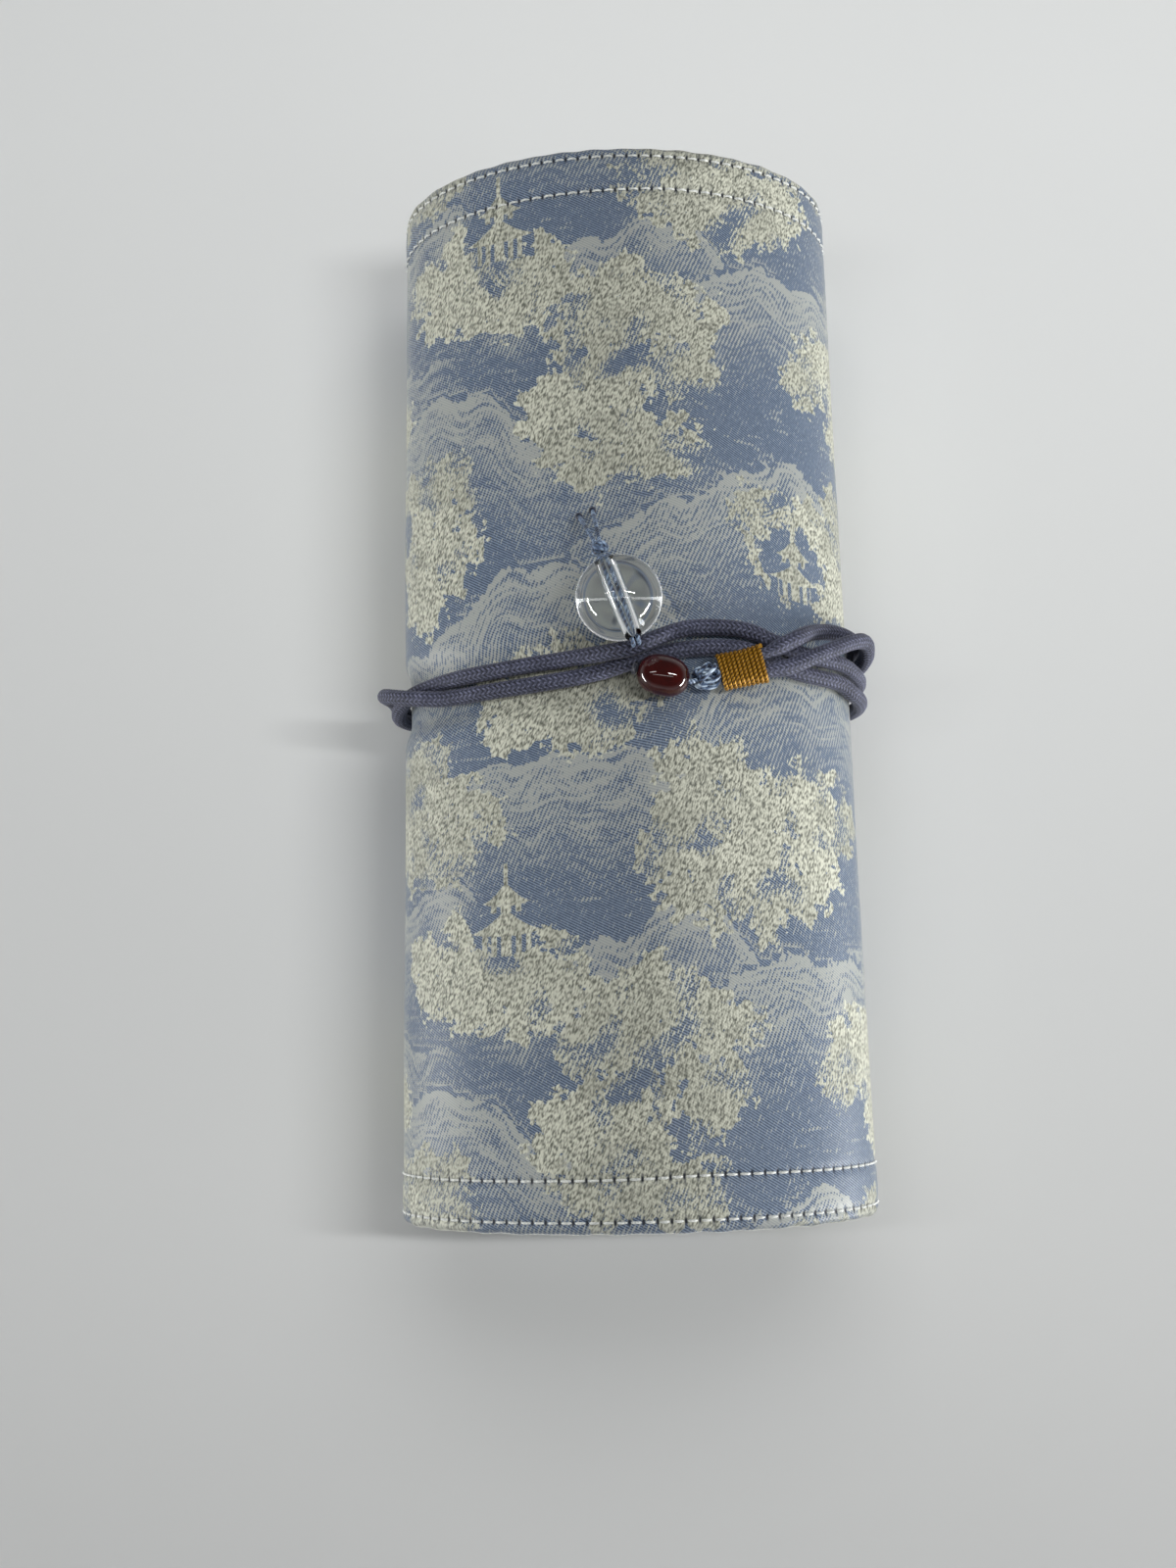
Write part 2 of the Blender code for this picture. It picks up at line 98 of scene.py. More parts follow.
# The cord's two strands: angle, place along Y in mm, height in cord layers
FAR_STRAND = (
    (-69.5, -1.5, -1), (-58, -1.4, -0.87), (-45, -1.3, -0.52), (-30, -1.3, -0.16),
    (-15, -1.3, 0), (0, -1.3, 0), (19, -0.7, 0), (29, -0.2, 0), (40, -0.3, 0), (46, 0, 0),
    (51, 0.8, 0), (56, 1.9, 0), (60, 3, -0.03), (64, 3.6, -0.1), (69, 3.8, -0.19),
    (75, 3.5, -0.15), (80, 2.3, 0.16), (85, 0.5, 0.47), (88, -0.6, 0.54), (91, -1.2, 0.5),
    (96, -1.4, 0.18), (102, -1.5, -0.22), (108, -1.7, -0.41), (122, -2.3, -0.44),
    (139, -2.7, -0.46), (146, -3, -0.42), (153, -3.3, -0.37), (162, -3.8, -0.32),
    (172, -4.6, -0.25), (182, -5.1, -0.2), (195, -4.8, -0.25), (207, -3.6, -0.31),
    (218, -2.2, -0.45), (230, -1.5, -0.75), (240, -1, -1), (265, 2.3, -1), (290, 5.6, -1),
    (301, 5.7, -0.92), (313, 5.7, -0.68), (330, 5.7, -0.2), (345, 5.7, 0), (384, 5.7, 0),
    (393, 5.4, 0), (398, 4.9, 0.08), (405, 3.7, 0.42), (409, 2.6, 0.75), (413.5, 1, 1),
    (417.3, -0.6, 1), (420.4, -1.9, 0.92), (425, -3.1, 0.56), (429.3, -3.6, 0.16),
)
NEAR_STRAND = (
    (-69.5, -5.2, -1), (-58, -5.1, -0.87), (-45, -5.1, -0.52), (-30, -5.1, -0.16),
    (-15, -5.1, 0), (0, -5.2, 0), (20, -5, 0), (30, -4, 0), (40, -3.9, 0), (46, -3.7, 0),
    (51, -3, 0), (56, -1.8, 0), (60, -0.7, -0.03), (64, 0, -0.12), (69.5, 0.2, -0.3),
    (75.5, -0.1, -0.4), (81, -0.7, -0.44), (85, -1.4, -0.44), (88.5, -2.1, -0.44),
    (92.5, -3.2, -0.44), (96.5, -4.1, -0.44), (104.6, -5.1, -0.44), (117, -5.8, -0.44),
    (132.6, -6.1, -0.44), (139, -6.1, -0.3), (146, -5.6, 0.16), (153, -4.7, 0.52),
    (162, -3.3, 0.68), (172, -2.1, 0.4), (182, -1.7, 0.15), (195, -2.1, 0.35),
    (207, -3.4, 0.7), (218, -4.8, 0.3), (230, -5.2, -0.55), (240, -4.7, -1), (265, -1.3, -1),
    (290, 2, -1), (301, 2.1, -0.92), (313, 2.1, -0.68), (330, 2.1, -0.2), (345, 2.1, 0),
    (360, 2.1, 0), (368, 2.4, 0.24), (375, 3, 0.6), (384.5, 4.1, 0.95), (392, 3, 1),
    (399, 1.1, 1), (407.5, -1.5, 1), (415.3, -4.1, 1), (420.4, -5, 0.92), (425, -5.6, 0.56),
    (429.3, -6.2, 0.16),
)
WHIP_START_ANGLE = 420.6
WHIP_END_ANGLE = 429.3


# The roll as a surface


def smoothstep(value):
    """0 below 0, 1 above 1, and an even S between them."""
    value = np.clip(value, 0, 1)
    return value * value * (3 - 2 * value)


def through_rows(rows, angle):
    """The columns of a given list at each angle, on smooth curves through its rows.

    Each stretch is a cubic whose slopes are the harmonic means of its neighbours'
    rises, and flat where the values turn back.
    """
    rows = np.array(rows, float)
    stops, columns = rows[:, 0], rows[:, 1:]
    angle = np.clip(angle, stops[0], stops[-1])
    span = np.diff(stops)
    rise = np.diff(columns, axis=0) / span[:, None]
    before, after = rise[:-1], rise[1:]
    turns_back = before * after <= 0
    mean = 2 * before * after / np.where(turns_back, 1, before + after)
    slopes = np.vstack([rise[:1], np.where(turns_back, 0, mean), rise[-1:]])
    at = np.clip(np.searchsorted(stops, angle, side="right") - 1, 0, len(span) - 1)
    t = ((angle - stops[at]) / span[at])[..., None]
    reach = span[at][..., None]
    value = (
        (2 * t**3 - 3 * t**2 + 1) * columns[at]
        + (t**3 - 2 * t**2 + t) * reach * slopes[at]
        + (3 * t**2 - 2 * t**3) * columns[at + 1]
        + (t**3 - t**2) * reach * slopes[at + 1]
    )
    return [value[..., column] for column in range(columns.shape[1])]


def roll_point(angle, y, inward):
    """Points at angles round the roll, this far inside its plain outer face."""
    turned = np.radians(angle)
    x = (ROLL_HALF_WIDTH - inward) * np.cos(turned)
    z = WIDEST_LEVEL + (ROLL_HALF_HEIGHT - inward) * np.sin(turned)
    return np.stack(np.broadcast_arrays(x, y, np.maximum(z, inward)), axis=-1)


def dent_depth(angle, y):
    """How far the cord presses the roll in: a flat floor with an S-shaped slope each side."""
    middle, layers = through_rows(DENT, np.mod(angle, 360))
    past_floor = np.abs(y - middle * MM) - CORD_LAYER
    return layers * CORD_LAYER * (1 - smoothstep(past_floor / DENT_SLOPE))


def turn_inward(turn):
    """How far in the panel's outer side lies after some turns: a step in each turn."""
    whole = np.floor(turn)
    return TURN_PITCH * (whole + smoothstep((turn - whole - 1 + STEP_SHARE) / STEP_SHARE))


def lengths_of_turns():
    """Close turns of the panel, and the length of its outer side up to each."""
    turns = np.linspace(0, TURNS, 4001)
    points = roll_point(FREE_EDGE_ANGLE - 360 * turns, 0 * turns, turn_inward(turns))
    steps = np.linalg.norm(np.diff(points, axis=0), axis=1)
    return turns, np.concatenate([[0], np.cumsum(steps)])


TURN_STOPS, LENGTH_STOPS = lengths_of_turns()
PANEL_LENGTH = LENGTH_STOPS[-1]


def turn_at(length):
    """Turns made after a length of the panel."""
    return np.interp(length, LENGTH_STOPS, TURN_STOPS)


def length_at_turn(turn):
    """Length of the panel after some turns."""
    return np.interp(turn, TURN_STOPS, LENGTH_STOPS)


def cloth_point(length, y_flat, depth):
    """Where a point of the flat panel lies on the roll.

    The length along the panel gives the angle and the turn. The width gives the
    place along Y, which follows the dent's middle near the cord. The depth is
    measured from the panel's outer side.
    """
    turn = turn_at(length)
    angle = FREE_EDGE_ANGLE - 360 * turn
    middle = through_rows(DENT, np.mod(angle, 360))[0] * MM
    foot = CORD_LAYER + DENT_SLOPE
    follow = np.minimum(1, (HALF_LENGTH - np.abs(y_flat)) / (HALF_LENGTH - foot))
    y = y_flat + middle * follow
    return roll_point(angle, y, turn_inward(turn) + depth + dent_depth(angle, y))


def strand_points(strand, angle):
    """Points on the middle line of a strand of the cord, at angles round the roll."""
    y, layers = through_rows(strand, angle)
    return roll_point(angle, y * MM, -CORD_LAYER * (layers + 0.5))


def even_line(points, spacing):
    """The same line as points an even distance apart."""
    reached = np.concatenate([[0], np.cumsum(np.linalg.norm(np.diff(points, axis=0), axis=1))])
    goal = np.linspace(0, reached[-1], max(2, round(reached[-1] / spacing)) + 1)
    return np.stack([np.interp(goal, reached, points[:, axis]) for axis in range(3)], axis=1)


def smooth_line(corners, count):
    """A smooth line through a few corners, by the cubic through each four in a row."""
    corners = np.array([tuple(corner) for corner in corners], float)
    padded = np.vstack([2 * corners[0] - corners[1], corners, 2 * corners[-1] - corners[-2]])
    share = np.linspace(0, len(corners) - 1, count)
    at = np.minimum(share.astype(int), len(corners) - 2)
    t = (share - at)[:, None]
    a, b, c, d = (padded[at + step] for step in range(4))
    return 0.5 * (
        2 * b + (c - a) * t + (2 * a - 5 * b + 4 * c - d) * t**2 + (3 * b - a - 3 * c + d) * t**3
    )


# From grids of points to pieces


def grid_faces(rows, columns, rows_close, columns_close):
    """Four-sided faces of a grid, which may close on itself either way, and its two ends.

    An end ring is filled by strips between the points that face each other.
    """
    index = np.arange(rows * columns).reshape(rows, columns)
    if rows_close:
        index = np.vstack([index, index[:1]])
    if columns_close:
        index = np.hstack([index, index[:, :1]])
    faces = [corners_of(index).reshape(-1, 4)]
    if columns_close and not rows_close:
        here = np.arange(columns // 2 - 1)
        across = columns - 1 - here
        strip = np.stack([here, here + 1, across - 1, across], axis=-1)
        faces += [strip[:, ::-1], strip + (rows - 1) * columns]
    return np.vstack(faces)


def corners_of(grid):
    """The four corners of each cell of a grid, with its outer side towards the reader."""
    return np.stack([grid[:-1, :-1], grid[:-1, 1:], grid[1:, 1:], grid[1:, :-1]], axis=2)


def surface(name, points, finish, rows_close=False, columns_close=True, lay=None, fields=None):
    """A mesh piece from grids of points, shaped (pieces, rows, columns, 3).

    lay gives the flat coordinates of a tube with filled ends, with its closing
    column in them. fields are named numbers at the points.
    """
    pieces, rows, columns = points.shape[:3]
    one = grid_faces(rows, columns, rows_close, columns_close)
    faces = (one[None] + (np.arange(pieces) * rows * columns)[:, None, None]).reshape(-1, 4)
    mesh = bpy.data.meshes.new(name)
    mesh.from_pydata(points.reshape(-1, 3).tolist(), [], faces.tolist())
    if lay is not None:
        ends = [np.broadcast_to(lay[end, 0], (columns // 2 - 1, 4, 2)) for end in (0, -1)]
        corners = np.concatenate([corners_of(lay).reshape(-1, 4, 2), *ends])
        layer = mesh.uv_layers.new(name="lay")
        layer.uv.foreach_set("vector", np.tile(corners, (pieces, 1, 1)).ravel())
    for field, values in (fields or {}).items():
        made = mesh.attributes.new(field, "FLOAT", "POINT")
        made.data.foreach_set("value", np.ascontiguousarray(values, np.float32).ravel())
    mesh.shade_smooth()
    mesh.set_sharp_from_angle(angle=math.radians(50))
    mesh.materials.append(finish.material)
    return add_object(name, mesh)


def add_object(name, data):
    """A new object in the scene, of a mesh, lamp or camera."""
    item = bpy.data.objects.new(name, data)
    bpy.context.scene.collection.objects.link(item)
    return item


def stands_for(piece, body, slot, *nodes):
    """Set a piece on its body and hide the solids that it replaces. Its slot is not used."""
    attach(piece, body)
    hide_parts(*nodes)
    return piece


def unit(vectors):
    """Vectors of length one."""
    return vectors / np.linalg.norm(vectors, axis=-1, keepdims=True)


def whole_turn(count):
    """Angles evenly round a circle."""
    return 2 * np.pi * np.arange(count) / count


def frames_along(path, reference, closes=False):
    """The two directions across a path at each point, the first one nearest to a reference."""
    if closes:
        tangent = np.roll(path, -1, axis=0) - np.roll(path, 1, axis=0)
    else:
        tangent = np.gradient(path, axis=0)
    tangent = unit(tangent)
    reference = np.broadcast_to(reference, tangent.shape)
    side = unit(reference - tangent * np.sum(reference * tangent, axis=-1, keepdims=True))
    return side, np.cross(tangent, side)


def carried_ring(path, reference, radius, around, closes=False):
    """Points of a ring carried along a path. The radius may change along it and round it."""
    side, up = frames_along(path, reference, closes)
    turned = whole_turn(around)[:, None]
    radius = np.broadcast_to(radius, (len(path), around))[..., None]
    ring = side[:, None] * np.cos(turned) + up[:, None] * np.sin(turned)
    return path[:, None] + ring * radius


def turned_points(profile, steps, place):
    """Points of a profile of (radius, height) turned about the Z of a place."""
    turned = whole_turn(steps)[:, None]
    radius, height = profile[:, 0], profile[:, 1] + 0 * turned
    return placed(np.stack([radius * np.cos(turned), radius * np.sin(turned), height], -1), place)


def placed(local, place):
    """Points of a local frame, in the row frame."""
    matrix = np.array(place)
    return local @ matrix[:3, :3].T + matrix[:3, 3]


# Finishes


def tint(red, green, blue):
    """A screen colour of 0 to 255 as the linear colour that a shader takes."""
    parts = np.array([red, green, blue]) / 255
    linear = np.where(parts <= 0.04045, parts / 12.92, ((parts + 0.055) / 1.055) ** 2.4)
    return (*linear, 1.0)


class Value:
    """What a node gives. A sum or product of numbers adds Math nodes."""

    def __init__(self, finish, socket):
        self.finish = finish
        self.socket = socket

    def maths(self, operation, *others, clamp=False):
        return self.finish.maths(operation, self, *others, clamp=clamp)

    def __add__(self, other):
        return self.maths("ADD", other)

    def __sub__(self, other):
        return self.maths("SUBTRACT", other)

    def __rsub__(self, other):
        return self.finish.maths("SUBTRACT", other, self)

    def __mul__(self, other):
        return self.maths("MULTIPLY", other)

    def __abs__(self):
        return self.maths("ABSOLUTE")

    __radd__ = __add__
    __rmul__ = __mul__

    def at_least(self, other):
        return self.maths("MAXIMUM", other)

    def at_most(self, other):
        return self.maths("MINIMUM", other)

    def wave(self, period):
        """A sine of the number, from -1 to 1."""
        return (self * (2 * math.pi / period)).maths("SINE")

    def above(self, edge, softness):
        """1 above an edge, 0 below it, and a straight ramp of that width between."""
        return (self - edge).maths("MULTIPLY_ADD", 1 / softness, 0.5, clamp=True)

    def below(self, edge, softness):
        """1 below an edge and 0 above it."""
        return self.above(edge, -softness)

    def repeated(self, period):
        """The number wrapped into half a period each side of 0."""
        return self.maths("WRAP", period / 2, -period / 2)


class Nodes:
    """The nodes of a material or world. node() adds any node, and maths() a Math node."""

    def __init__(self, holder, shader):
        holder.use_nodes = True
        self.tree = holder.node_tree
        self.shader = self.tree.nodes[shader]

    def plug(self, socket, value):
        if isinstance(value, Value):
            self.tree.links.new(value.socket, socket)
        else:
            socket.default_value = value

    def give(self, socket, value):
        """Set or link a socket of the shader."""
        self.plug(self.shader.inputs[socket], value)

    def node(self, kind, settings, sockets, output=0):
        """Add a node: its settings first, then its sockets' values or links."""
        made = self.tree.nodes.new(kind)
        for name, setting in settings.items():
            setattr(made, name, setting)
        for name, value in sockets.items():
            self.plug(made.inputs[name], value)
        return Value(self, made.outputs[output])

    def maths(self, operation, *values, clamp=False):
        settings = {"operation": operation, "use_clamp": clamp}
        return self.node("ShaderNodeMath", settings, dict(enumerate(values)))

    def mix(self, share, low, high):
        """A colour between two, by a share from 0 to 1."""
        settings = {"data_type": "RGBA"}
        return self.node("ShaderNodeMix", settings, {0: share, 6: low, 7: high}, 2)

    def field(self, name):
        """A number stored at the mesh's points."""
        return self.node("ShaderNodeAttribute", {"attribute_name": name}, {}, 2)

    def noise(self, place, size, seed=0.0, detail=0.0):
        """Soft noise about 0, mostly within 0.5 each way, with bumps of a size."""
        settings = {"noise_dimensions": "4D"}
        sockets = {"Vector": place, "W": seed, "Scale": 1 / size, "Detail": detail}
        return (self.node("ShaderNodeTexNoise", settings, sockets) - 0.5) * 2

    def lay(self):
        """Flat coordinates of the piece, in metres."""
        return self.node("ShaderNodeUVMap", {"uv_map": "lay"}, {})

    def object_place(self):
        """Object coordinates, in metres."""
        return self.node("ShaderNodeTexCoord", {}, {}, 3)

    def place(self, first, second):
        """A place from two numbers."""
        return self.node("ShaderNodeCombineXYZ", {}, {0: first, 1: second})

    def parts(self, place):
        """The first two numbers of a place."""
        first = self.node("ShaderNodeSeparateXYZ", {}, {0: place})
        return first, Value(self, first.socket.node.outputs[1])

    def relief(self, height, depth):
        """Raise the surface by a height of 0 to 1, as shading."""
        self.give("Normal", self.node("ShaderNodeBump", {}, {"Height": height, "Distance": depth}))


class Finish(Nodes):
    """A Principled material, with some of its sockets set by name."""

    def __init__(self, name, **sockets):
        self.material = bpy.data.materials.new(name)
        super().__init__(self.material, "Principled BSDF")
        for socket, value in sockets.items():
            self.give(socket.replace("_", " "), value)


def strand_finish(name, fibre, patch, steps, shades, **sockets):
    """Braided or wound strands with fine fibres: painted shade in their grooves, a painted
    highlight on their backs.

    The fibres have a size, a share in the shade and a depth, and slow patches of shade a size and
    a share. Each step is the edge and the softness where one of the three shades turns into the
    next: the dark one is painted shade and the light one a painted highlight.
    """
    strand = Finish(name, **sockets)
    place = strand.object_place()
    fine = strand.noise(place, fibre[0], 1.0)
    # The relief sets painted shade in the grooves and a painted highlight on the strands' backs.
    lit = strand.field("relief") + fine * fibre[1] + strand.noise(place, patch[0], 2.0) * patch[1]
    low = strand.mix(lit.above(*steps[0]), tint(*shades[0]), tint(*shades[1]))
    strand.give("Base Color", strand.mix(lit.above(*steps[1]), low, tint(*shades[2])))
    strand.relief(fine * 0.5 + 0.5, fibre[2])
    return strand


# The brocade's landscape

REPEAT_ROUND = 118.0
REPEAT_ALONG = 131.0
CROWN_SEED = 11

# Groves of tree crowns: place round the roll, place along it, half width, half height
# in mm, and how many crowns
GROVES = (
    (26, -34, 19, 13, 15), (-42, -22, 13, 12, 9), (-15, -5, 14, 6, 8),
    (40, 20, 17, 10, 11), (-44, 30, 12, 11, 8), (4, 46, 17, 9, 10),
    (-28, -56, 14, 7, 7), (50, 56, 11, 8, 6), (4, -64, 10, 5, 4),
)
# Hills: middle, top of the ridge, half width, drop to the sides and depth in mm, how
# far they lean, and how light they are
HILLS = (
    (-30, 56, 36, 17, 26, 0.35, 0.90), (26, 36, 36, 15, 26, -0.30, 0.85),
    (-24, 20, 34, 16, 25, -0.35, 0.90), (44, 2, 34, 17, 26, 0.30, 0.90),
    (-6, -14, 36, 17, 26, 0.30, 0.95), (-46, -38, 28, 15, 20, -0.30, 0.80),
    (-2, -46, 28, 14, 20, -0.35, 0.85), (44, -54, 36, 15, 24, 0.30, 0.90),
)
# Pavilions: place round the roll and along it, and each roof's half width, foot, rise
# and post height in mm
HOUSES = (
    (-23.0, -47.0, ((7.6, 0.0, 4.2, 4.4), (5.0, 5.4, 3.8, 1.8))),
    (33.0, 14.5, ((6.4, 0.0, 3.4, 4.0), (4.4, 4.6, 3.6, 1.6))),
)


def apart(value, middle, repeat):
    """Signed distance from a middle that comes back with each repeat."""
    return np.mod(value - middle + repeat / 2, repeat) - repeat / 2


def from_houses(around, along):
    """Distance in mm from the middle of the nearest pavilion."""
    nearest = np.full(around.shape, 99.0)
    for middle_round, foot_along, _ in HOUSES:
        x = apart(around, middle_round, REPEAT_ROUND)
        y = apart(along, foot_along + 2.5, REPEAT_ALONG)
        nearest = np.minimum(nearest, np.hypot(x, y))
    return nearest


def crown_fields(around, along):
    """Distance in mm inside the nearest tree crown, and how densely it is woven.

    A crown is a core disc with a ring of smaller discs, flatter than it is wide.
    """
    draw = np.random.default_rng(CROWN_SEED)
    inside = np.full(around.shape, -30.0)
    dense = np.zeros(around.shape)
    for middle_round, middle_along, width, height, count in GROVES:
        for _ in range(count):
            turned, reach = draw.uniform(0, 2 * np.pi), np.sqrt(draw.uniform())
            crown_round = middle_round + width * reach * np.cos(turned)
            crown_along = middle_along + height * reach * np.sin(turned)
            size = draw.uniform(5.5, 10.0) * (1.15 - 0.4 * reach)
            fullness = draw.uniform(0.55, 1.35)
            lobes = [(0.0, 0.0, 0.7)]
            for lobe in range(7):
                turned = 2 * np.pi * (lobe + draw.uniform(-0.3, 0.3)) / 7
                reach = draw.uniform(0.6, 1.0)
                radius = draw.uniform(0.2, 0.45)
                lobes.append((reach * np.cos(turned), reach * np.sin(turned), radius))
            for right, up, radius in lobes:
                x = apart(around, crown_round + right * size * 1.15, REPEAT_ROUND)
                y = apart(along, crown_along + up * size * 0.8, REPEAT_ALONG)
                here = radius * size - np.hypot(x, y)
                dense = np.where(here > inside, fullness, dense)
                inside = np.maximum(inside, here)
    return np.minimum(inside, from_houses(around, along) - 8.5), dense


def hill_fields(around, along):
    """Lightness of the nearest hill, depth below its ridge line, and place along the line.

    A ridge line falls off to both sides by a power of the distance, with small
    waves. A hill is lightest at its ridge and fades downward and to the sides.
    Hills that stand nearer are drawn over the ones behind.
    """
    shade = np.zeros(around.shape)
    depth = np.full(around.shape, -8.0)
    run = np.zeros(around.shape)
    for middle, top, width, drop, extent, lean, lightness in HILLS:
        x = apart(around, middle, REPEAT_ROUND) / width
        y = apart(along, top - drop * 0.6, REPEAT_ALONG) - drop * 0.6
        side = x + lean * (1 - x * x)
        waves = 1.6 * np.sin(x * 7 + middle) + 0.9 * np.sin(x * 17 + top)
        below = waves - drop * np.abs(side) ** 1.7 - y
        fade = 1 - smoothstep((np.abs(side) - 0.75) / 0.4)
        tone = lightness * np.clip(1 - below / extent, 0, 1) * fade
        drawn = (below > -1.5) & (below < extent) & (fade > 0)
        drawn = drawn & ((tone > shade) | (below < 5))
        shade = np.where(drawn, tone, shade)
        depth = np.where(drawn, below, depth)
        run = np.where(drawn, x * width, run)
    return shade * smoothstep((from_houses(around, along) - 6) / 4), depth, run


def landscape_fields(length, y):
    """The landscape's numbers at each point of the panel's outer side."""
    around = (length - LANDSCAPE_MIDDLE) / MM + 0 * y
    along = y / MM + 0 * length
    names = ("crown", "dense", "shade", "depth", "run")
    return dict(zip(names, (*crown_fields(around, along), *hill_fields(around, along))))


def pavilion(around, along, middle_round, middle_along, tiers):
    """A share of 1 on a small pavilion of a few roofs, drawn by its outline in mm.

    Each roof falls in a curve to upturned eaves, with pillars under it, and the
    top one has a thin finial.
    """
    x = abs((around - middle_round).repeated(REPEAT_ROUND))
    y = (along - middle_along).repeated(REPEAT_ALONG)
    drawn = None
    for width, foot, rise, post in tiers:
        share = (1 - x * (1 / width)).at_least(0.0)
        top = share.maths("POWER", 1.7) * rise + foot
        eaves = x * x * (0.9 / width**2) + (foot - 0.5)
        roof = (top - y).at_most(y - eaves + 0.25).at_most(width - x)
        posts = x.wave(1.9).maths("MULTIPLY", 0.45) + 0.1
        wall = (x * -1 + 0.62 * width).at_most(posts)
        wall = wall.at_most(y - (foot - post)).at_most(foot - y)
        both = roof.at_least(wall)
        drawn = both if drawn is None else drawn.at_least(both)
    width, foot, rise, post = tiers[-1]
    finial = (0.42 - x).at_most((foot + rise + 3.4) - y).at_most(y - foot)
    return drawn.at_least(finial).above(0.0, 0.25)


def brocade_finish():
    """Blue twill with pebbled cream crowns, hatched hills and streaks, and a plain lining, with
    painted shade at the needle holes and on the folded edges.

    A tone from 0 to 1 says how much of the cream thread shows. It is compared with
    fine hatching and grain, so that middle tones break up into single threads.
    """
    cloth = Finish(
        "brocade_cloth", Sheen_Weight=0.5, Sheen_Roughness=0.30,
        Sheen_Tint=tint(250, 248, 236), Specular_IOR_Level=0.30,
    )
    lay = cloth.lay()
    u, v = cloth.parts(lay)
    rag = cloth.noise(lay, 0.80 * MM, 3.0)
    float_place = cloth.place(u * 0.92 - v * 0.39, u * 0.18 + v * 0.42)
    grain = cloth.noise(float_place, 0.30 * MM, 4.0)
    tone, solid = woven_tone(cloth, lay, u, v, rag, grain)

    twill = (u * 0.50 + v * 0.87).wave(0.42 * MM)
    hatch = (u * 0.91 - v * 0.42).wave(0.69 * MM)
    threads = hatch * (1.5 - solid) * 0.38 + grain * 0.55 + rag * 0.25
    light = (tone * 1.5 - 0.75 + threads).above(0.0, 0.35)
    ground = cloth.mix(twill * 0.5 + grain * 0.25 + 0.5, tint(54, 65, 82), tint(120, 135, 155))
    fullness = cloth.field("dense").maths("MULTIPLY_ADD", 0.7, 0.28, clamp=True)
    pebble = (grain * 1.1 + rag * 0.5 + 0.58).above(0.5, 0.9) * fullness
    cream = cloth.mix(pebble, tint(99, 101, 92), tint(200, 201, 185))
    flat_cream = cloth.mix(twill * 0.25 + 0.5, tint(136, 141, 141), tint(166, 169, 163))
    colour = cloth.mix(light, ground, cloth.mix(solid, flat_cream, cream))
    plain = cloth.mix(twill * 0.2 + grain * 0.2 + 0.5, tint(150, 153, 150), tint(176, 178, 172))
    colour = cloth.mix(cloth.field("lining"), colour, plain)

    hole, pulled_pit_shade, rim = seam_marks(u, v)
    # Painted shade: dark needle holes, darker pulled cloth round them, and a greyish painted shade
    # on the folded edge at each end.
    colour = cloth.mix(pulled_pit_shade * 0.55, colour, tint(62, 70, 84))
    colour = cloth.mix(hole, colour, tint(36, 39, 47))
    cloth.give("Base Color", cloth.mix(rim * 0.35, colour, tint(84, 92, 102)))

    raised = light * solid
    cloth.give("Roughness", raised * 0.14 + 0.44)
    weave = grain * 0.5 * (raised * 1.2 + 0.35) + twill * 0.14 + light * 0.25 + raised * 0.15
    cloth.relief(weave + 0.5 - hole * 1.2 - pulled_pit_shade * 0.5, 0.08 * MM)
    return cloth


def woven_tone(cloth, lay, u, v, rag, grain):
    """How much cream thread the landscape shows, and a share of 1 on crowns and pavilions."""
    broad = cloth.noise(lay, 6.5 * MM, 1.0)
    lobes = cloth.noise(lay, 2.6 * MM, 2.0, 1.0)
    flat_streak = cloth.noise(cloth.place(u * 0.22, v), 1.3 * MM, 5.0, 1.0)

    crown_edge = cloth.field("crown") + 1.0 + lobes * 5.0 + rag * 1.6 + grain * 0.5
    fleck = (cloth.noise(lay, 3.1 * MM, 6.0, 1.0) + rag * 0.35).above(0.52, 0.08)
    in_crown = crown_edge.above(0.0, 0.4)
    crown_tone = in_crown * (cloth.field("dense") + broad * 0.9) * (1 - fleck * 0.85)
    depth = cloth.field("depth")
    shade = cloth.field("shade")
    brush_place = cloth.place(depth + broad * 3.0, cloth.field("run") * 0.13)
    brush = cloth.noise(brush_place, 1.0, 7.0, 2.0) + rag * 0.2
    below_ridge = (depth + lobes * 1.4 + rag * 0.8).above(0.0, 0.5)
    rim = (1 - depth * 0.45).at_least(0.0) * shade.above(0.15, 0.1) * 0.45
    hill_tone = below_ridge * (shade * 0.95 + rim + brush * (shade + 0.3) * 1.7 + 0.03)
    streak_tone = (flat_streak + rag * 0.25).above(0.34, 0.2) * 0.55
    tone = crown_tone.at_least(hill_tone).at_least(streak_tone)
    around = u * 1000 - LANDSCAPE_MIDDLE / MM
    first, second = (pavilion(around, v * 1000, *house) for house in HOUSES)
    houses = first.at_least(second)
    return tone.at_least(houses * 1.2), in_crown.at_least(houses)


def seam_marks(u, v):
    """Shares of 1 in the needle holes, in the pulled cloth round them, and at the folded edge,
    where the cloth gets painted shade.
    """
    from_end = HALF_LENGTH - abs(v)
    outer, inner = (abs(from_end - distance) for distance in SEAM_DISTANCES)
    to_seam = outer.at_most(inner)
    to_hole = abs(u.repeated(STITCH_PITCH))
    hole = to_seam.below(0.42 * MM, 0.30 * MM) * to_hole.below(0.20 * MM, 0.16 * MM)
    pulled_pit_shade = to_seam.below(0.85 * MM, 0.7 * MM) * to_hole.below(0.24 * MM, 0.3 * MM)
    return hole, pulled_pit_shade, from_end.below(1.1 * MM, 1.2 * MM)


# The landscape is laid out from the panel's line at the top of the roll
LANDSCAPE_MIDDLE = float(length_at_turn((FREE_EDGE_ANGLE - 90) / 360))


# The rolled case


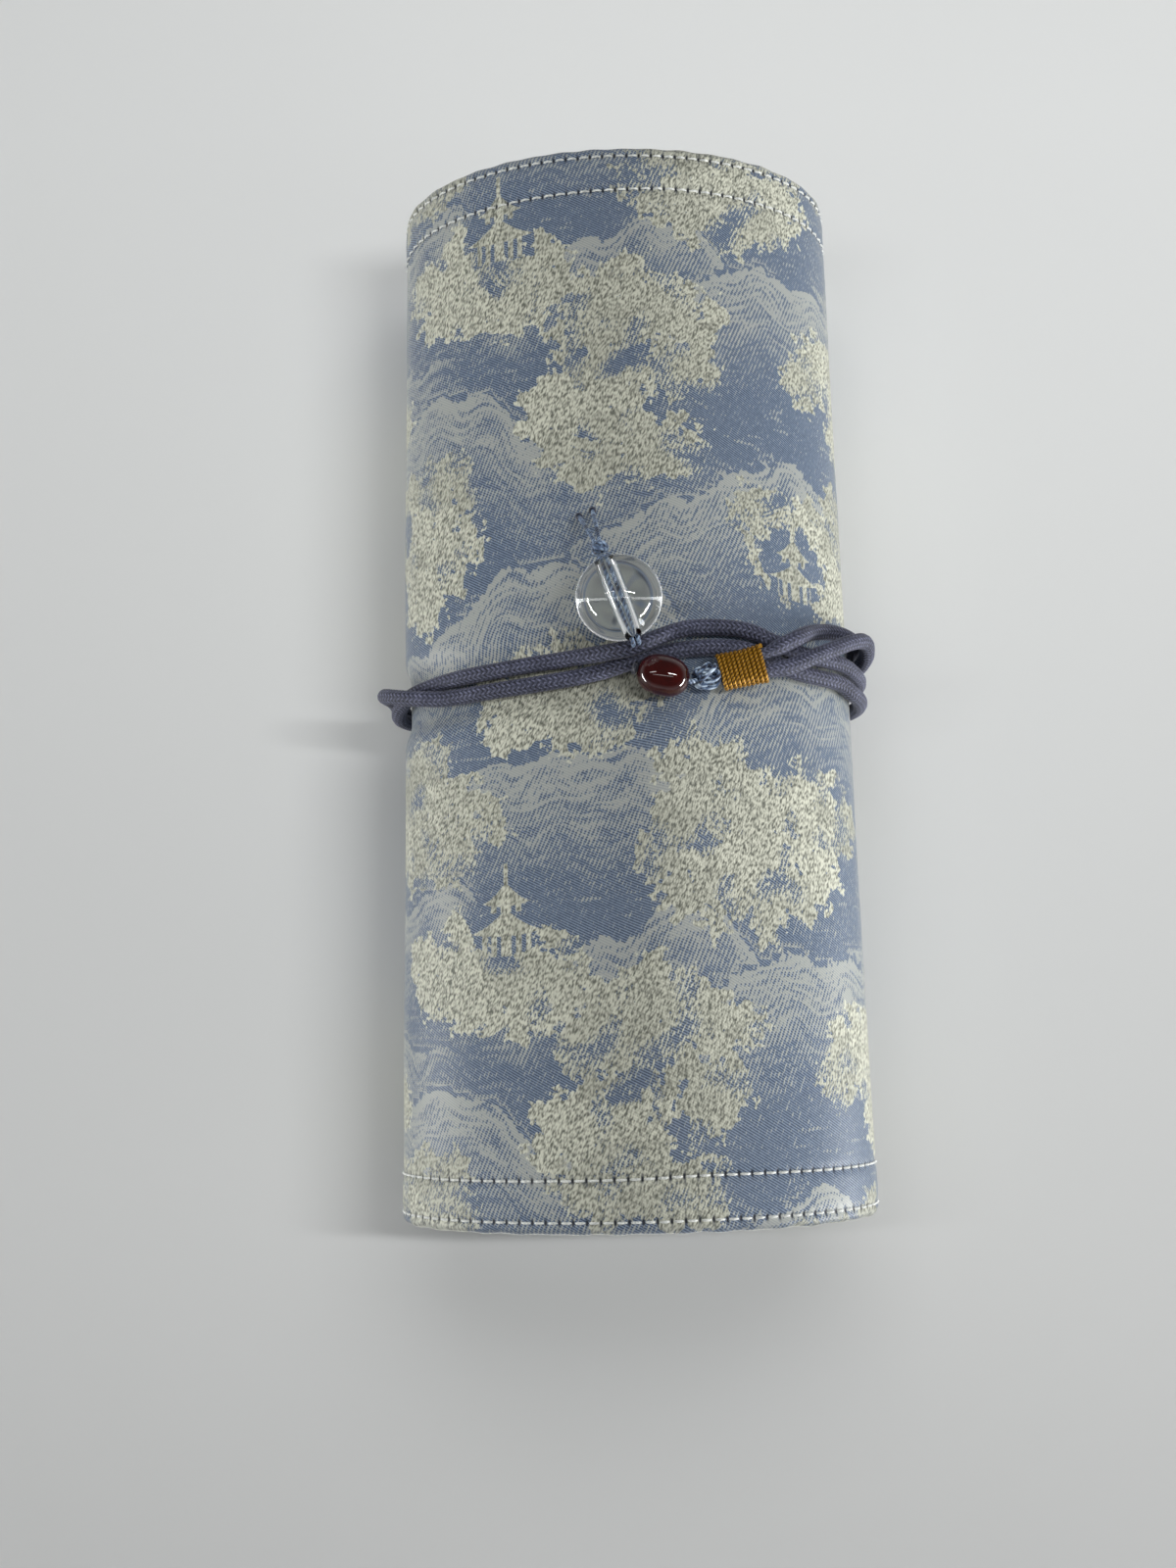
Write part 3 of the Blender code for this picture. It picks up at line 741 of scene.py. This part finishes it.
def panel_rows():
    """Lengths along the panel of the grid's rows, closest where the roll shows on top."""
    round_end = FOLD * (1 - np.cos(np.radians((12, 35, 62))))
    shown_from, shown_to, covered_from = length_at_turn((0.235, 0.870, 1.03)).tolist()
    third = STITCH_PITCH / 3
    shown = np.arange(math.ceil(shown_from / third), math.floor(shown_to / third) + 1) * third
    under = np.arange(FOLD, shown[0], 2 * third)
    side = np.arange(shown[-1] + 2 * third, covered_from, 2 * third)
    hidden = np.linspace(side[-1] + 0.004, PANEL_LENGTH - FOLD, 92)
    return np.concatenate([round_end, under, shown, side, hidden, PANEL_LENGTH - round_end[::-1]])


def panel_section():
    """Places along Y and depths across the panel, round its outer and inner sides.

    The outer side runs from the far end to the near end, and each folded edge is
    half a circle.
    """
    turned = np.radians((np.arange(4) + 0.5) / 4 * 90)[::-1]
    edge_y = HALF_LENGTH - FOLD + FOLD * np.sin(turned)
    edge_depth = FOLD * (1 - np.cos(turned))
    hem = HALF_LENGTH - np.arange(FOLD, 0.0118, 0.00062)
    middle = np.linspace(hem[-1], -hem[-1], 152)[1:-1]
    y = np.concatenate([edge_y, hem, middle, -hem[::-1], -edge_y[::-1]])
    depth = np.concatenate([edge_depth, 0 * hem, 0 * middle, 0 * hem, edge_depth[::-1]])
    return y, depth


def seam_sink(y, length):
    """How far the seams pull the cloth in, most at each needle hole."""
    from_end = HALF_LENGTH - np.abs(y)
    at_hole = 0.5 + 0.5 * np.cos(2 * np.pi * length / STITCH_PITCH)
    sink = 0
    for distance, depth in zip(SEAM_DISTANCES, (0.00034, 0.00030)):
        sink = sink + depth * np.exp(-(((from_end - distance) / 0.0008) ** 2))
    return sink * (0.7 + 0.3 * at_hole)


def soft_waves(y, length):
    """Slow hollows of padded cloth, from 0 to about 0.4 mm deep: a sum of a few sines."""
    wave = (
        np.sin(y * 71 + length * 23 + 0.7)
        + np.sin(y * -38 + length * 61 + 2.1)
        + 0.6 * np.sin(y * 133 + length * 47 + 4.0)
        + 0.5 * np.sin(y * 57 - length * 149 + 1.3)
    )
    return 0.00006 * (wave + 3.1)


def rolled_cloth():
    """The padded panel, rolled up, with its seams sunk in and its edges folded round."""
    length = panel_rows()[:, None]
    y, depth = panel_section()
    near_end = np.minimum(length, PANEL_LENGTH - length) / FOLD
    plump = np.sqrt(1 - (1 - np.clip(near_end, 0, 1)) ** 2)
    from_end = HALF_LENGTH - np.abs(y)
    body = smoothstep((from_end - 0.004) / 0.010)
    sunk = seam_sink(y, length) + soft_waves(y, length) * body
    sunk = sunk * smoothstep(from_end / 0.0012)
    ripple = 0.00007 * np.sin(length * 2 * np.pi / 0.0071) * np.sin(length * 211)
    edge = 1 - smoothstep(from_end / 0.0035)
    outer_depth = FOLD + (depth + sunk + ripple * edge - FOLD) * plump
    inner_depth = FOLD + (PANEL_THICKNESS - depth - 0.7 * sunk - FOLD) * plump
    y_row = y + 0.00012 * edge * np.sign(y) * (np.sin(length * 900) * np.sin(length * 173) - 1)
    outer = cloth_point(length, y_row, outer_depth)
    inner = cloth_point(length, y_row, inner_depth)[:, ::-1]
    points = np.concatenate([outer, inner], axis=1)

    fields = {
        name: np.hstack([value, value[:, ::-1]])
        for name, value in landscape_fields(length, y).items()
    }
    facing = smoothstep((from_end - FACING_DEPTH) / 0.0006) + 0 * length
    fields["lining"] = np.hstack([0 * facing, facing[:, ::-1]])
    flat_y = np.concatenate([y, y[::-1], y[:1]])
    lay = np.stack(np.broadcast_arrays(length, flat_y), axis=-1)
    piece = surface("rolled_cloth", points[None], brocade_finish(), lay=lay, fields=fields)
    stands_for(piece, "case", "brocade", "rolled_case")


def seam_stitches():
    """Top-stitching of both hems: short threads that dip into the cloth at both ends.

    Each stitch is a ring carried along an arc over its stretch of the seam.
    """
    thread = Finish("seam_thread", Roughness=0.6, Sheen_Weight=0.3)
    fibre = thread.noise(thread.object_place(), 0.3 * MM, 1.0)
    thread.give("Base Color", thread.mix(fibre + 0.5, tint(176, 180, 178), tint(224, 226, 220)))
    outer_count = int(length_at_turn(1.02) / STITCH_PITCH)
    inner_from = int(length_at_turn(2.55) / STITCH_PITCH)
    inner_to = int(PANEL_LENGTH / STITCH_PITCH) - 1
    share = np.linspace(-1, 1, 7)
    reach = 0.43 * STITCH_PITCH
    arch = np.array([0.00026, 0.00002, -0.00010, -0.00014, -0.00010, 0.00002, 0.00026])
    grids = []
    for side in (-1, 1):
        for distance in SEAM_DISTANCES:
            for first, last, on_inner in ((1, outer_count, False), (inner_from, inner_to, True)):
                middle = (np.arange(first, last) + 0.5)[:, None] * STITCH_PITCH
                length = middle + share * reach
                y = side * (HALF_LENGTH - distance) + 0 * length
                sink = seam_sink(y, length)
                depth = PANEL_THICKNESS - 0.7 * sink - arch if on_inner else sink + arch
                path = cloth_point(length, y, depth)
                above = cloth_point(length, y, depth - 0.0002)
                grids.append(stitch_rings(path, above - path))
    piece = surface("seam_stitches", np.concatenate(grids), thread)
    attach(piece, "case")


def stitch_rings(paths, outward):
    """Small rings carried along many short paths, a little wider than they are high."""
    tangent = unit(np.gradient(paths, axis=1))
    side = unit(np.cross(outward, tangent))
    up = np.cross(tangent, side)
    turned = whole_turn(6)[:, None]
    slim = np.array([0.55, 0.95, 1.0, 1.0, 1.0, 0.95, 0.55])[:, None, None] * STITCH_THREAD / 2
    wide = side[:, :, None] * np.cos(turned) * slim
    high = up[:, :, None] * np.sin(turned) * slim * 0.85
    return paths[:, :, None] + wide + high


# The cord and its whipping

BRAID_COLUMNS = 12
BRAID_PITCH = 0.00095
BRAID_STEP = 0.00024
BRAID_AROUND = 48
COIL_STEP = 0.00011


def braid_relief(along, around):
    """Relief of a round braid, 0 in its grooves and 1 on its strands.

    Narrow columns run along the cord. Each is a row of slanted stitches with
    rounded backs, and neighbouring columns slant opposite ways.
    """
    column = around * BRAID_COLUMNS / (2 * np.pi)
    within = column % 1
    slant = np.where(column % 2 < 1, 0.9, -0.9)
    stitch = (along / BRAID_PITCH + slant * (within - 0.5)) % 1
    return np.sin(np.pi * stitch) ** 0.7 * (0.35 + 0.65 * np.sin(np.pi * within) ** 0.5)


def wrap_cord(name, strand, finish, node):
    """One strand of the cord: a braided ring carried along its route round the roll."""
    path = even_line(
        strand_points(strand, np.linspace(strand[0][0], strand[-1][0], 6001)), BRAID_STEP
    )
    length = float(np.sum(np.linalg.norm(np.diff(path, axis=0), axis=1)))
    along = np.linspace(0, 1, len(path))[:, None] * length
    whip_ends, _ = whip_middle([0.0, 1.0])
    whipped_from = length - float(np.linalg.norm(whip_ends[1] - whip_ends[0]))
    bound = smoothstep((along - (whipped_from - 0.0035)) / 0.0030)
    around = 2 * np.pi * (np.arange(BRAID_AROUND) + 0.5) / BRAID_AROUND
    relief = braid_relief(along, around)
    radius = CORD_DIAMETER / 2 * (1 - (1 - CORD_SQUEEZE) * bound) * (0.90 + 0.11 * relief)
    points = carried_ring(path, (0, 1, 0), radius, BRAID_AROUND)
    # The relief also sets the braid's painted shade in its grooves and its painted highlight on
    # the strands.
    piece = surface(name, points[None], finish, fields={"relief": relief})
    stands_for(piece, "case", "braid", node)


def whip_middle(share):
    """Points on the whipping's middle line, and the way from one strand to the other."""
    angle = WHIP_START_ANGLE + (WHIP_END_ANGLE - WHIP_START_ANGLE) * np.asarray(share)
    far, near = (strand_points(strand, angle) for strand in (FAR_STRAND, NEAR_STRAND))
    return (far + near) / 2, far - near


def two_plies(count, step):
    """Relief round a twisted thread at points a step apart: 1 on its plies, 0 between."""
    reached = (np.arange(count) * step)[:, None]
    return np.abs(np.sin(whole_turn(THREAD_AROUND) - reached * 2 * np.pi / PLY_PITCH))


def gold_whipping():
    """Gold thread wound closely round both strands: a two-ply ring carried along a coil.

    The coil's section is two half circles joined by short straights, and the
    thread's two plies twist round each other.
    """
    # Painted shade between the plies, and a painted highlight on their backs.
    gold = strand_finish(
        "gold_whipping_thread", fibre=(0.16 * MM, 0.3, 0.03 * MM), patch=(1.1 * MM, 0.0),
        steps=((0.40, 0.60), (1.0, 0.50)),
        shades=((48, 24, 0), (148, 103, 10), (206, 160, 58)), Roughness=0.42, Metallic=0.45,
    )
    share = np.linspace(0, 1, WHIP_TURNS * 100 + 1)
    turned = (2 * np.pi * WHIP_TURNS * share)[:, None]
    middle, between = whip_middle(share)
    along = unit(middle[-1] - middle[0])
    side = unit(between - along * (between @ along)[:, None])
    up = np.cross(along, side)
    reach = CORD_DIAMETER / 2 * CORD_SQUEEZE + WHIP_THREAD / 2 + 0.00012
    half_gap = np.linalg.norm(between, axis=1)[:, None] / 2
    corner = half_gap * np.clip(1.6 * np.cos(turned), -1, 1)
    path = middle + side * (corner + reach * np.cos(turned)) + up * reach * np.sin(turned)
    coil = even_line(path, COIL_STEP)
    plies = two_plies(len(coil), COIL_STEP)
    radius = WHIP_THREAD / 2 * (0.78 + 0.27 * plies)
    points = carried_ring(coil, along, radius, THREAD_AROUND)
    # The plies' relief also sets the painted shade between them and the painted highlight on them.
    piece = surface("gold_whipping", points[None], gold, fields={"relief": plies})
    return stands_for(piece, "case", "gold_thread", "cord_whipping")


# Beads, knots and threads


def roll_frame(angle, y, height):
    """A place above the roll, with X round it, Y along it and Z straight out of it."""
    turned = math.radians(angle)
    out = Vector((math.cos(turned) / ROLL_HALF_WIDTH, 0, math.sin(turned) / ROLL_HALF_HEIGHT))
    out.normalize()
    along = Vector((0, 1, 0))
    matrix = Matrix((along.cross(out), along, out)).transposed().to_4x4()
    matrix.translation = Vector(roll_point(angle, y, 0.0)) + out * height
    return matrix


def turned_about(axis, degrees):
    return Matrix.Rotation(math.radians(degrees), 4, axis)


CRYSTAL_PLACE = (
    roll_frame(91.8, 0.0067, CRYSTAL_DIAMETER / 2 + 0.0011)
    @ turned_about("Z", 19.8) @ turned_about("X", 7.0 - 90)
)
CRYSTAL_ACROSS = np.array(CRYSTAL_PLACE.to_3x3().col[0])
CRYSTAL_AXIS = np.array(CRYSTAL_PLACE.to_3x3().col[2])
STOP_KNOT_HEIGHT = CRYSTAL_DIAMETER / 2 + 2 * CLEARANCE + THREAD_KNOT_DIAMETER / 2
RED_PLACE = (
    roll_frame(82.6, -0.0060, RED_DIAMETER / 2 + 0.0004)
    @ turned_about("Z", -14) @ turned_about("Y", -90)
)


def bored_oval(length, diameter, hole, fullness, points):
    """Profile of a bead with a hole: a rounded oval from its top down, and back up the hole."""
    radius = diameter / 2
    end = math.acos(min(1.0, (hole / 2 / radius) ** (fullness / 2)))
    turned = np.linspace(end, -end, points)
    across = radius * np.cos(turned) ** (2 / fullness)
    height = np.sign(turned) * np.abs(np.sin(turned)) ** (2 / fullness) * length / 2
    inner = np.linspace(height[-1], height[0], 16)[1:-1]
    across = np.concatenate([across, np.full(len(inner), hole / 2)])
    return np.stack([across, np.concatenate([height, inner])], axis=1)


def crystal_ball():
    """Clear polished ball with a straight hole: its profile turned about the hole."""
    glass = Finish(
        "clear_crystal", Roughness=0.0, IOR=1.52, Transmission_Weight=1.0,
        Base_Color=(0.97, 0.985, 0.985, 1.0),
    )
    profile = bored_oval(CRYSTAL_DIAMETER, CRYSTAL_DIAMETER, CRYSTAL_HOLE, 2.0, 64)
    points = turned_points(profile, 96, CRYSTAL_PLACE)
    piece = surface("crystal_ball", points[None], glass, rows_close=True)
    stands_for(piece, "crystal", "crystal", "crystal_bead")


def polished_red_bead():
    """Dark red polished stone bead: its profile turned about its hole."""
    stone = Finish(
        "dark_red_stone", Roughness=0.05, Coat_Weight=0.25, Coat_Roughness=0.02,
        Subsurface_Weight=0.05, Subsurface_Scale=0.002,
    )
    cloud = stone.noise(stone.object_place(), 3.4 * MM, 1.0, 2.0)
    stone.give("Base Color", stone.mix(cloud * 0.7 + 0.40, tint(26, 1, 0), tint(66, 7, 4)))
    profile = bored_oval(RED_LENGTH, RED_DIAMETER, RED_HOLE, 2.3, 56)
    points = turned_points(profile, 80, RED_PLACE)
    piece = surface("polished_red_bead", points[None], stone, rows_close=True)
    return stands_for(piece, "red", "carnelian", "red_bead")


def thread_finish(name, *shades):
    """Shiny blue thread whose shade changes along it, with painted shade between its plies and a
    painted highlight on their backs.
    """
    return strand_finish(
        name, fibre=(0.14 * MM, 0.3, 0.02 * MM), patch=(1.1 * MM, 1.2),
        steps=((0.30, 0.45), (0.95, 0.50)), shades=shades, Roughness=0.45, Sheen_Weight=0.2,
    )


def thread_piece(name, path, radius, reference, finish, node, closes=False, melted=0):
    """A thread of two plies twisted round each other, as a ring carried along a path.

    Where it is melted, by a share from 0 to 1, it is plain and dark.
    """
    plies = two_plies(len(path), np.linalg.norm(path[1] - path[0]))
    radius = np.broadcast_to(radius, (len(path),))[:, None] * (0.80 + 0.24 * plies)
    points = carried_ring(path, reference, radius, THREAD_AROUND, closes)
    # The plies' relief also sets the painted shade between them and the painted highlight on them;
    # melted parts are dark.
    fields = {"relief": plies * (1 - melted) - 1.4 * melted}
    piece = surface(name, points[None], finish, rows_close=closes, fields=fields)
    return stands_for(piece, "case", "blue_thread", node)


def knot_line(place, mean_radius, swing, half_length, windings, waves, taper, count):
    """A closed line that winds round the Z of a place and weaves over and under itself.

    It goes round some times while it goes up and down more often, further out on
    its way up than on its way down. The taper narrows it towards +Z.
    """
    turned = whole_turn(count)
    height = np.cos(waves * turned)
    radius = (mean_radius + swing * np.sin(waves * turned)) * (1 - taper * height)
    wound = windings * turned
    local = [radius * np.cos(wound), radius * np.sin(wound), half_length * height]
    return placed(np.stack(local, axis=-1), place)


def tail_knot_frame():
    """Place of the blue knot, halfway between the whipping and the red bead."""
    middle, _ = whip_middle([1.0])
    whip_end = Vector(middle[0])
    bead_end = RED_PLACE @ Vector((0, 0, -RED_LENGTH / 2))
    matrix = (bead_end - whip_end).to_track_quat("Z", "Y").to_matrix().to_4x4()
    matrix.translation = (bead_end + whip_end) / 2
    return matrix


def tail_knot_and_thread():
    """The woven blue knot, and the thread from the whipping through it to the bead's far end."""
    place = tail_knot_frame()
    # The darkest shade is painted shade between the plies, the lightest a painted highlight.
    shaded = thread_finish("shaded_blue_thread", (16, 20, 36), (72, 94, 126), (186, 204, 220))
    axis = np.array(place.to_3x3().col[2])
    line = knot_line(
        place, mean_radius=0.00150, swing=0.00045, half_length=0.0018, windings=3, waves=7,
        taper=0.22, count=640,
    )
    knot = thread_piece(
        "woven_tail_knot", line, TAIL_KNOT_THREAD / 2, axis, shaded, "tail_knot", closes=True
    )

    far = RED_LENGTH / 2
    corners = [
        place @ Vector((0, 0, -TAIL_KNOT_LENGTH / 2 - CLEARANCE)),
        place @ Vector((0, 0, 0)),
        RED_PLACE @ Vector((0, 0, -far)),
        RED_PLACE @ Vector((0, 0, 0)),
        RED_PLACE @ Vector((0, 0, far + CLEARANCE + 0.0006)),
    ]
    line = even_line(smooth_line(corners, 200), THREAD_STEP)
    from_end = np.linalg.norm(line - line[-1], axis=1)
    swell = smoothstep((0.0010 - from_end) / 0.0003) * smoothstep(from_end / 0.0003 + 0.15)
    radius = TAIL_THREAD / 2 + (RED_HOLE / 2 + 0.0002 - TAIL_THREAD / 2) * swell
    melted = smoothstep((0.0012 - from_end) / 0.0003)[:, None]
    thread = thread_piece(
        "tail_thread_line", line, radius, (0, 0, 1), shaded, "tail_thread", melted=melted
    )
    return knot, thread


def doubled_threads(blue):
    """The two threads side by side in the crystal, which turn down into the cord below it."""
    mouth = CRYSTAL_DIAMETER / 2
    offset = (BEAD_THREAD + 0.75 * CLEARANCE) / 2
    downward = (
        (0, mouth + CLEARANCE), (0, mouth / 2), (0, 0), (0, -mouth / 2), (0, -mouth),
        (0.0004, -mouth - 0.0006), (0.0011, -mouth - 0.0010),
    )
    for name, side, node in (
        ("doubled_thread_left", -1, "bead_thread_left"),
        ("doubled_thread_right", 1, "bead_thread_right"),
    ):
        corners = [(side * offset, aside, height) for aside, height in downward]
        line = even_line(placed(smooth_line(corners, 200), CRYSTAL_PLACE), THREAD_STEP)
        thread_piece(name, line, BEAD_THREAD / 2, CRYSTAL_ACROSS, blue, node)


def stop_knot(blue):
    """The knot above the crystal's hole: three close windings of the thread."""
    place = CRYSTAL_PLACE @ Matrix.Translation((0, 0, STOP_KNOT_HEIGHT - 0.0002))
    line = knot_line(
        place, mean_radius=0.00098, swing=0.00030, half_length=0.00066, windings=3, waves=4,
        taper=0.0, count=420,
    )
    pulled = BEAD_THREAD / 2 * 0.95
    thread_piece("stop_knot_loops", line, pulled, CRYSTAL_AXIS, blue, "thread_knot", closes=True)


def melted_ends(blue):
    """The thread's two short ends above the knot, which swell to dark melted tips."""
    for name, side, tip_angle, tip_y, node in (
        ("melted_end_left", -1, 101.0, 0.0252, "thread_tail_left"),
        ("melted_end_right", 1, 97.6, 0.0262, "thread_tail_right"),
    ):
        start = CRYSTAL_PLACE @ Vector((side * BEAD_THREAD / 2, 0, STOP_KNOT_HEIGHT + 0.0006))
        tip = roll_frame(tip_angle, tip_y, BEAD_THREAD * 0.95 + CLEARANCE).translation
        middle = start.lerp(tip, 0.5) + Vector((0, 0, 0.0006))
        line = even_line(smooth_line([start, middle, tip], 120), 0.00010)
        from_tip = np.linalg.norm(line - line[-1], axis=1)
        blob = smoothstep((0.0017 - from_tip) / 0.0005)
        rounded = np.sqrt(np.clip(from_tip / 0.0007, 0.05, 1))
        radius = BEAD_THREAD / 2 * (0.95 + 0.85 * blob) * rounded
        thread_piece(name, line, radius, CRYSTAL_ACROSS, blue, node, melted=blob[:, None])


# Floor, light and camera


FLOOR_WIDTH = 0.84


def pale_floor():
    """A plain pale floor with painted shade: a little darker towards the viewer."""
    paper = Finish("pale_paper", Roughness=0.9)
    _, along = paper.parts(paper.object_place())
    # Painted shade: the paper's colour darkens towards the viewer.
    share = along.maths("MULTIPLY_ADD", 2.4, 0.66, clamp=True)
    paper.give("Base Color", paper.mix(share, tint(205, 206, 205), tint(237, 239, 238)))
    half = FLOOR_WIDTH / 2
    grid = np.array([[(-half, half, 0), (half, half, 0)], [(-half, -half, 0), (half, -half, 0)]])
    piece = surface("pale_floor", grid[None], paper, columns_close=False)


# Lamps: name, place, width and height in metres, power in watts, and whether gloss and
# glass show them
LAMPS = (
    ("near_strip", (0, -0.17, 0.62), (0.62, 0.02), 0.26, True),
    ("left_strip", (-0.30, -0.02, 0.62), (0.02, 0.30), 0.40, True),
    ("right_strip", (0.30, -0.02, 0.62), (0.02, 0.30), 1.45, True),
    ("far_panel", (0.10, 0.48, 0.74), (0.9, 0.5), 2.9, False),
    ("left_low", (-0.80, -0.25, 0.025), (0.55, 0.04), 5.2, True),
    ("right_low", (0.78, -0.40, 0.025), (0.55, 0.04), 9.6, True),
)
LAMPS_FACE = (0, 0.02, 0.03)


def soft_lamp(name, place, size, power, mirrored):
    """A soft rectangular lamp that the camera doesn't see."""
    lamp = bpy.data.lights.new(name, "AREA")
    lamp.shape = "RECTANGLE"
    lamp.size, lamp.size_y = size
    lamp.energy = power
    item = add_object(name, lamp)
    item.location = place
    item.rotation_mode = "QUATERNION"
    item.rotation_quaternion = (Vector(LAMPS_FACE) - Vector(place)).to_track_quat("-Z", "Y")
    item.visible_camera = False
    item.visible_glossy = item.visible_transmission = mirrored


def soft_light():
    """Strip lamps overhead in a U, a wide far panel, low side lamps and a pale room.

    The room shows pale to the camera. In gloss and through glass its ceiling is
    darker than its walls. Its light on the object is even and weak.
    """
    world = bpy.data.worlds.new("pale_room")
    room = Nodes(world, "Background")
    camera, gloss, glass = (
        room.node("ShaderNodeLightPath", {}, {}, f"Is {ray} Ray")
        for ray in ("Camera", "Glossy", "Transmission")
    )
    towards = room.node("ShaderNodeTexCoord", {}, {})
    up = room.node("ShaderNodeSeparateXYZ", {}, {0: towards}, 2)
    wall = up.below(0.18, 0.36)
    shown = camera.at_least(gloss * wall).at_least(glass * (wall * 0.6 + 0.4))
    room.give("Color", tint(252, 253, 255))
    room.give("Strength", shown * 0.52 + 0.11)
    bpy.context.scene.world = world
    for lamp in LAMPS:
        soft_lamp(*lamp)


def viewing_camera():
    """The camera, nearly overhead: tilted towards the far end, turned a little and rolled."""
    lens = bpy.data.cameras.new("viewing_camera")
    lens.sensor_width = 36.0
    lens.lens = 31.5
    lens.clip_start = 0.01
    camera = add_object("viewing_camera", lens)
    camera.matrix_world = (
        Matrix.Translation((-0.005519, -0.068632, 0.285651))
        @ turned_about("X", 10.695) @ turned_about("Y", 0.506) @ turned_about("Z", -1.339)
    )
    bpy.context.scene.camera = camera


viewing_camera()
cord_end = (gold_whipping(), polished_red_bead(), *tail_knot_and_thread())
# Painted shade in the braid's grooves, and a painted highlight on the backs of its strands.
braid = strand_finish(
    "braided_cord", fibre=(0.22 * MM, 0.35, 0.05 * MM), patch=(2.5 * MM, 0.12),
    steps=((0.40, 0.45), (0.90, 0.40)), shades=((8, 9, 18), (60, 63, 81), (118, 121, 146)),
    Roughness=0.75, Sheen_Weight=0.1, Sheen_Roughness=0.4,
)
wrap_cord("braid_strand_far", FAR_STRAND, braid, "wrap_cord_far")
wrap_cord("braid_strand_near", NEAR_STRAND, braid, "wrap_cord_near")
rolled_cloth()
seam_stitches()
crystal_ball()
# The darkest shade is painted shade between the plies, the lightest a painted highlight.
blue = thread_finish("twisted_blue_thread", (16, 24, 42), (66, 88, 118), (142, 163, 188))
doubled_threads(blue)
stop_knot(blue)
melted_ends(blue)
pale_floor()
soft_light()
bpy.context.scene.view_settings.view_transform = "Standard"
